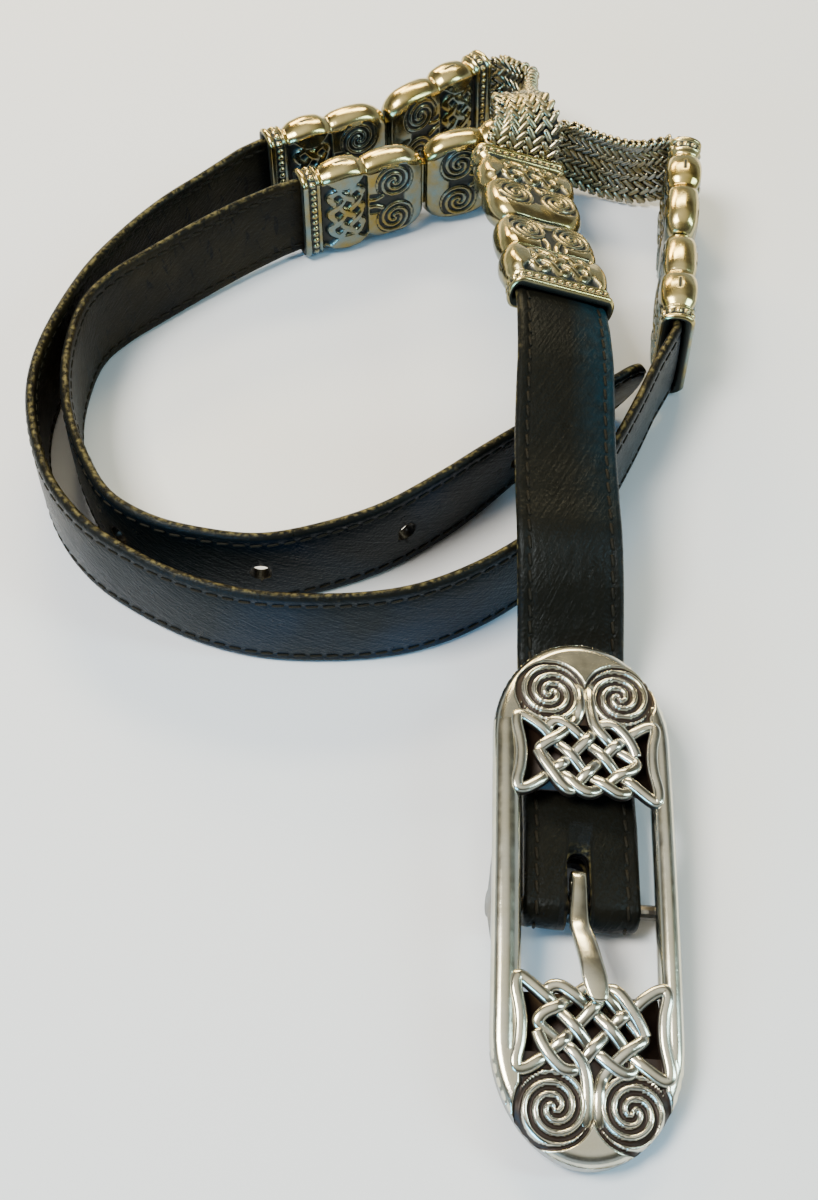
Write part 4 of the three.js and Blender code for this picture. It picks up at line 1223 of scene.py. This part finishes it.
def metal_with_painted_light(name, bright, warm, cool, dark, rough_low, rough_high, scratch=0.3):
    """Cast metal with painted light: golden painted top light where it faces up, painted cool shade on its
    sides, painted shade and grime in the hollows.
    """
    n = Nodes(name)
    cavity = n.value("cavity")
    color = n.mix(n.ramp(n.noise(90, 5), 0.35, 0.7), bright, warm)
    # Share of painted top light: more where the surface faces up, less on decorated faces.
    top_light_share = n.times(n.value("decorated"), -0.42, n.times(n.noise(150, 4), 0.5, n.up()))
    # Painted cool shade of the sides, varied at random towards a dim warm tone.
    painted_side_shade = n.mix(n.ramp(n.noise(130, 5, 0.6), 0.4, 0.62), cool, tuple(0.36 * part for part in warm))
    color = n.mix(n.ramp(top_light_share, 0.25, 0.95), painted_side_shade, color)
    # Painted shade in the hollows, broken up by grime noise, with light grime all over.
    grime_and_shade_noise = n.ramp(n.noise(420, 6, 0.7), 0.4, 0.75, 0.0, 0.3)
    share = n.math("ADD", n.ramp(cavity, 0.08, 0.7), n.times(grime_and_shade_noise, cavity))
    share = n.math("MINIMUM", n.times(grime_and_shade_noise, 0.25, share), 1.0)
    color = n.mix(share, color, dark)
    rough = n.times(share, 0.3, n.ramp(n.noise(260, 6, 0.65), 0.3, 0.75, rough_low, rough_high))
    lines = n.noise(60, 4, 0.7, n.place((1, 14, 6), (0.3, 0.5, 0.7)))
    height = n.times(lines, scratch, n.times(n.ramp(n.cells(700), 0.0, 0.12), 0.25))
    return n.surface(color, rough, n.ramp(share, 0.0, 1.0, 1.0, 0.35), n.bump(height, 0.35, 0.00012))


def pale_floor():
    n = Nodes("pale_floor")
    color = n.mix(n.noise(6, 3), (0.86, 0.86, 0.86), (0.90, 0.90, 0.90))
    return n.surface(color, n.times(n.noise(40, 3), 0.1, 0.6))


# Camera, light and floor

CAMERA_PLACE = (5.0, -212.0, 252.2)
CAMERA_DOWN = 52.83
FLOOR_HALF = 6.0
# Name, place, aim, size, power and colour of each lamp
LAMPS = [
    ("overhead", (-0.5, -0.15, 0.95), (0, 0, 0), (0.4, 0.4), 17.0, (1.0, 0.97, 0.90)),
    ("warm_back", (0.05, 0.85, 0.80), (0.02, 0.0, 0), (0.6, 0.2), 7.5, (1.0, 0.86, 0.56)),
    ("gold_high", (-0.2, 0.65, 0.35), (0.02, 0.08, 0), (0.25, 0.12), 2.6, (1.0, 0.74, 0.32)),
    ("cool_front", (-0.55, -0.75, 0.32), (0, 0, 0.01), (0.45, 0.22), 6.5, (0.15, 0.55, 1.0)),
    ("right", (0.8, -0.15, 0.6), (0, 0, 0), (0.16, 0.5), 5.0, (0.60, 0.90, 1.0)),
]
# Light of the surroundings from straight below to straight above
SKY = [
    (0.0, (0.30, 0.38, 0.46)), (0.28, (0.42, 0.48, 0.55)), (0.5, (0.05, 0.05, 0.05)),
    (0.8, (0.10, 0.10, 0.09)), (1.0, (0.95, 0.95, 0.90)),
]
SKY_STRENGTH = 0.9


def add_camera():
    data = bpy.data.cameras.new("camera")
    data.sensor_fit = "VERTICAL"
    data.sensor_height = 36
    data.lens = 48
    data.clip_start = 0.01
    data.clip_end = 20
    camera = add_object("camera", data)
    camera.location = (np.array(CAMERA_PLACE) + SHIFT) * MM
    camera.rotation_euler = (math.radians(90 - CAMERA_DOWN), 0, 0)
    bpy.context.scene.camera = camera


def area_light(name, place, aim, size, power, color):
    data = bpy.data.lights.new(name, "AREA")
    data.shape = "RECTANGLE"
    data.size, data.size_y = size
    data.energy = power
    data.color = color
    lamp = add_object(name, data)
    lamp.location = place
    lamp.rotation_euler = (Vector(aim) - Vector(place)).to_track_quat("-Z", "Y").to_euler()


def add_light():
    for lamp in LAMPS:
        area_light(*lamp)
    world = bpy.data.worlds.new("studio")
    bpy.context.scene.world = world
    world.use_nodes = True
    tree = world.node_tree
    coord = tree.nodes.new("ShaderNodeTexCoord")
    split = tree.nodes.new("ShaderNodeSeparateXYZ")
    shade = tree.nodes.new("ShaderNodeValToRGB")
    back = tree.nodes["Background"]
    tree.links.new(coord.outputs["Generated"], split.inputs["Vector"])
    tree.links.new(split.outputs["Z"], shade.inputs["Fac"])
    tree.links.new(shade.outputs["Color"], back.inputs["Color"])
    stops = shade.color_ramp.elements
    for place, _ in SKY[1:-1]:
        stops.new(place)
    for stop, (_, color) in zip(stops, SKY):
        stop.color = (*color, 1)
    back.inputs["Strength"].default_value = SKY_STRENGTH


def add_floor():
    mesh = bpy.data.meshes.new("floor")
    r = FLOOR_HALF
    mesh.from_pydata([(-r, -r, 0), (r, -r, 0), (r, r, 0), (-r, r, 0)], [], [(0, 1, 2, 3)])
    mesh.materials.append(pale_floor())
    floor = add_object("floor", mesh)


def paint_nodes(cap_metal, shaded_bar_metal):
    """Materials of the solids that are shown as they are."""
    for name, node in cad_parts.items():
        if name.startswith("hinge_pin_") or name == "buckle_bar":
            node.data.materials.clear()
            node.data.materials.append(shaded_bar_metal if name == "buckle_bar" else cap_metal)


def build_belt():
    leather = strap_leather()
    stitch = thread()
    cap_metal = metal_with_painted_light("cap_metal", *CAP_METAL)
    mesh_metal = metal_with_painted_light("mesh_metal", *MESH_METAL)
    buckle_metal = metal_with_painted_light("buckle_metal", *BUCKLE_METAL, 0.25)
    shaded_bar_metal = metal_with_painted_light("shaded_bar_metal", *SHADED_BAR_METAL)
    back = strap_back_band()
    strap_piece("strap_back", back, leather)
    stitches("stitches_back", back, 6.5, 6.5, stitch)
    tip = strap_tip_band()
    punch_holes(strap_piece("strap_tip", tip, leather), tip)
    stitches("stitches_tip", tip, 6.5, 3.0, stitch)
    front = strap_front_band()
    cut_slot(strap_piece("strap_front", front, leather))
    stitches("stitches_front", front, 6.5, 2.0, stitch)
    cap_pieces(cap_metal)
    mesh_links("links_front", "mesh_front", mesh_front_band(), mesh_metal, 3)
    mesh_links("links_back", "mesh_back", mesh_back_band(), mesh_metal, 4)
    buckle_piece(buckle_metal)
    prong_piece(buckle_metal)
    paint_nodes(cap_metal, shaded_bar_metal)


add_camera()
add_light()
add_floor()
build_belt()
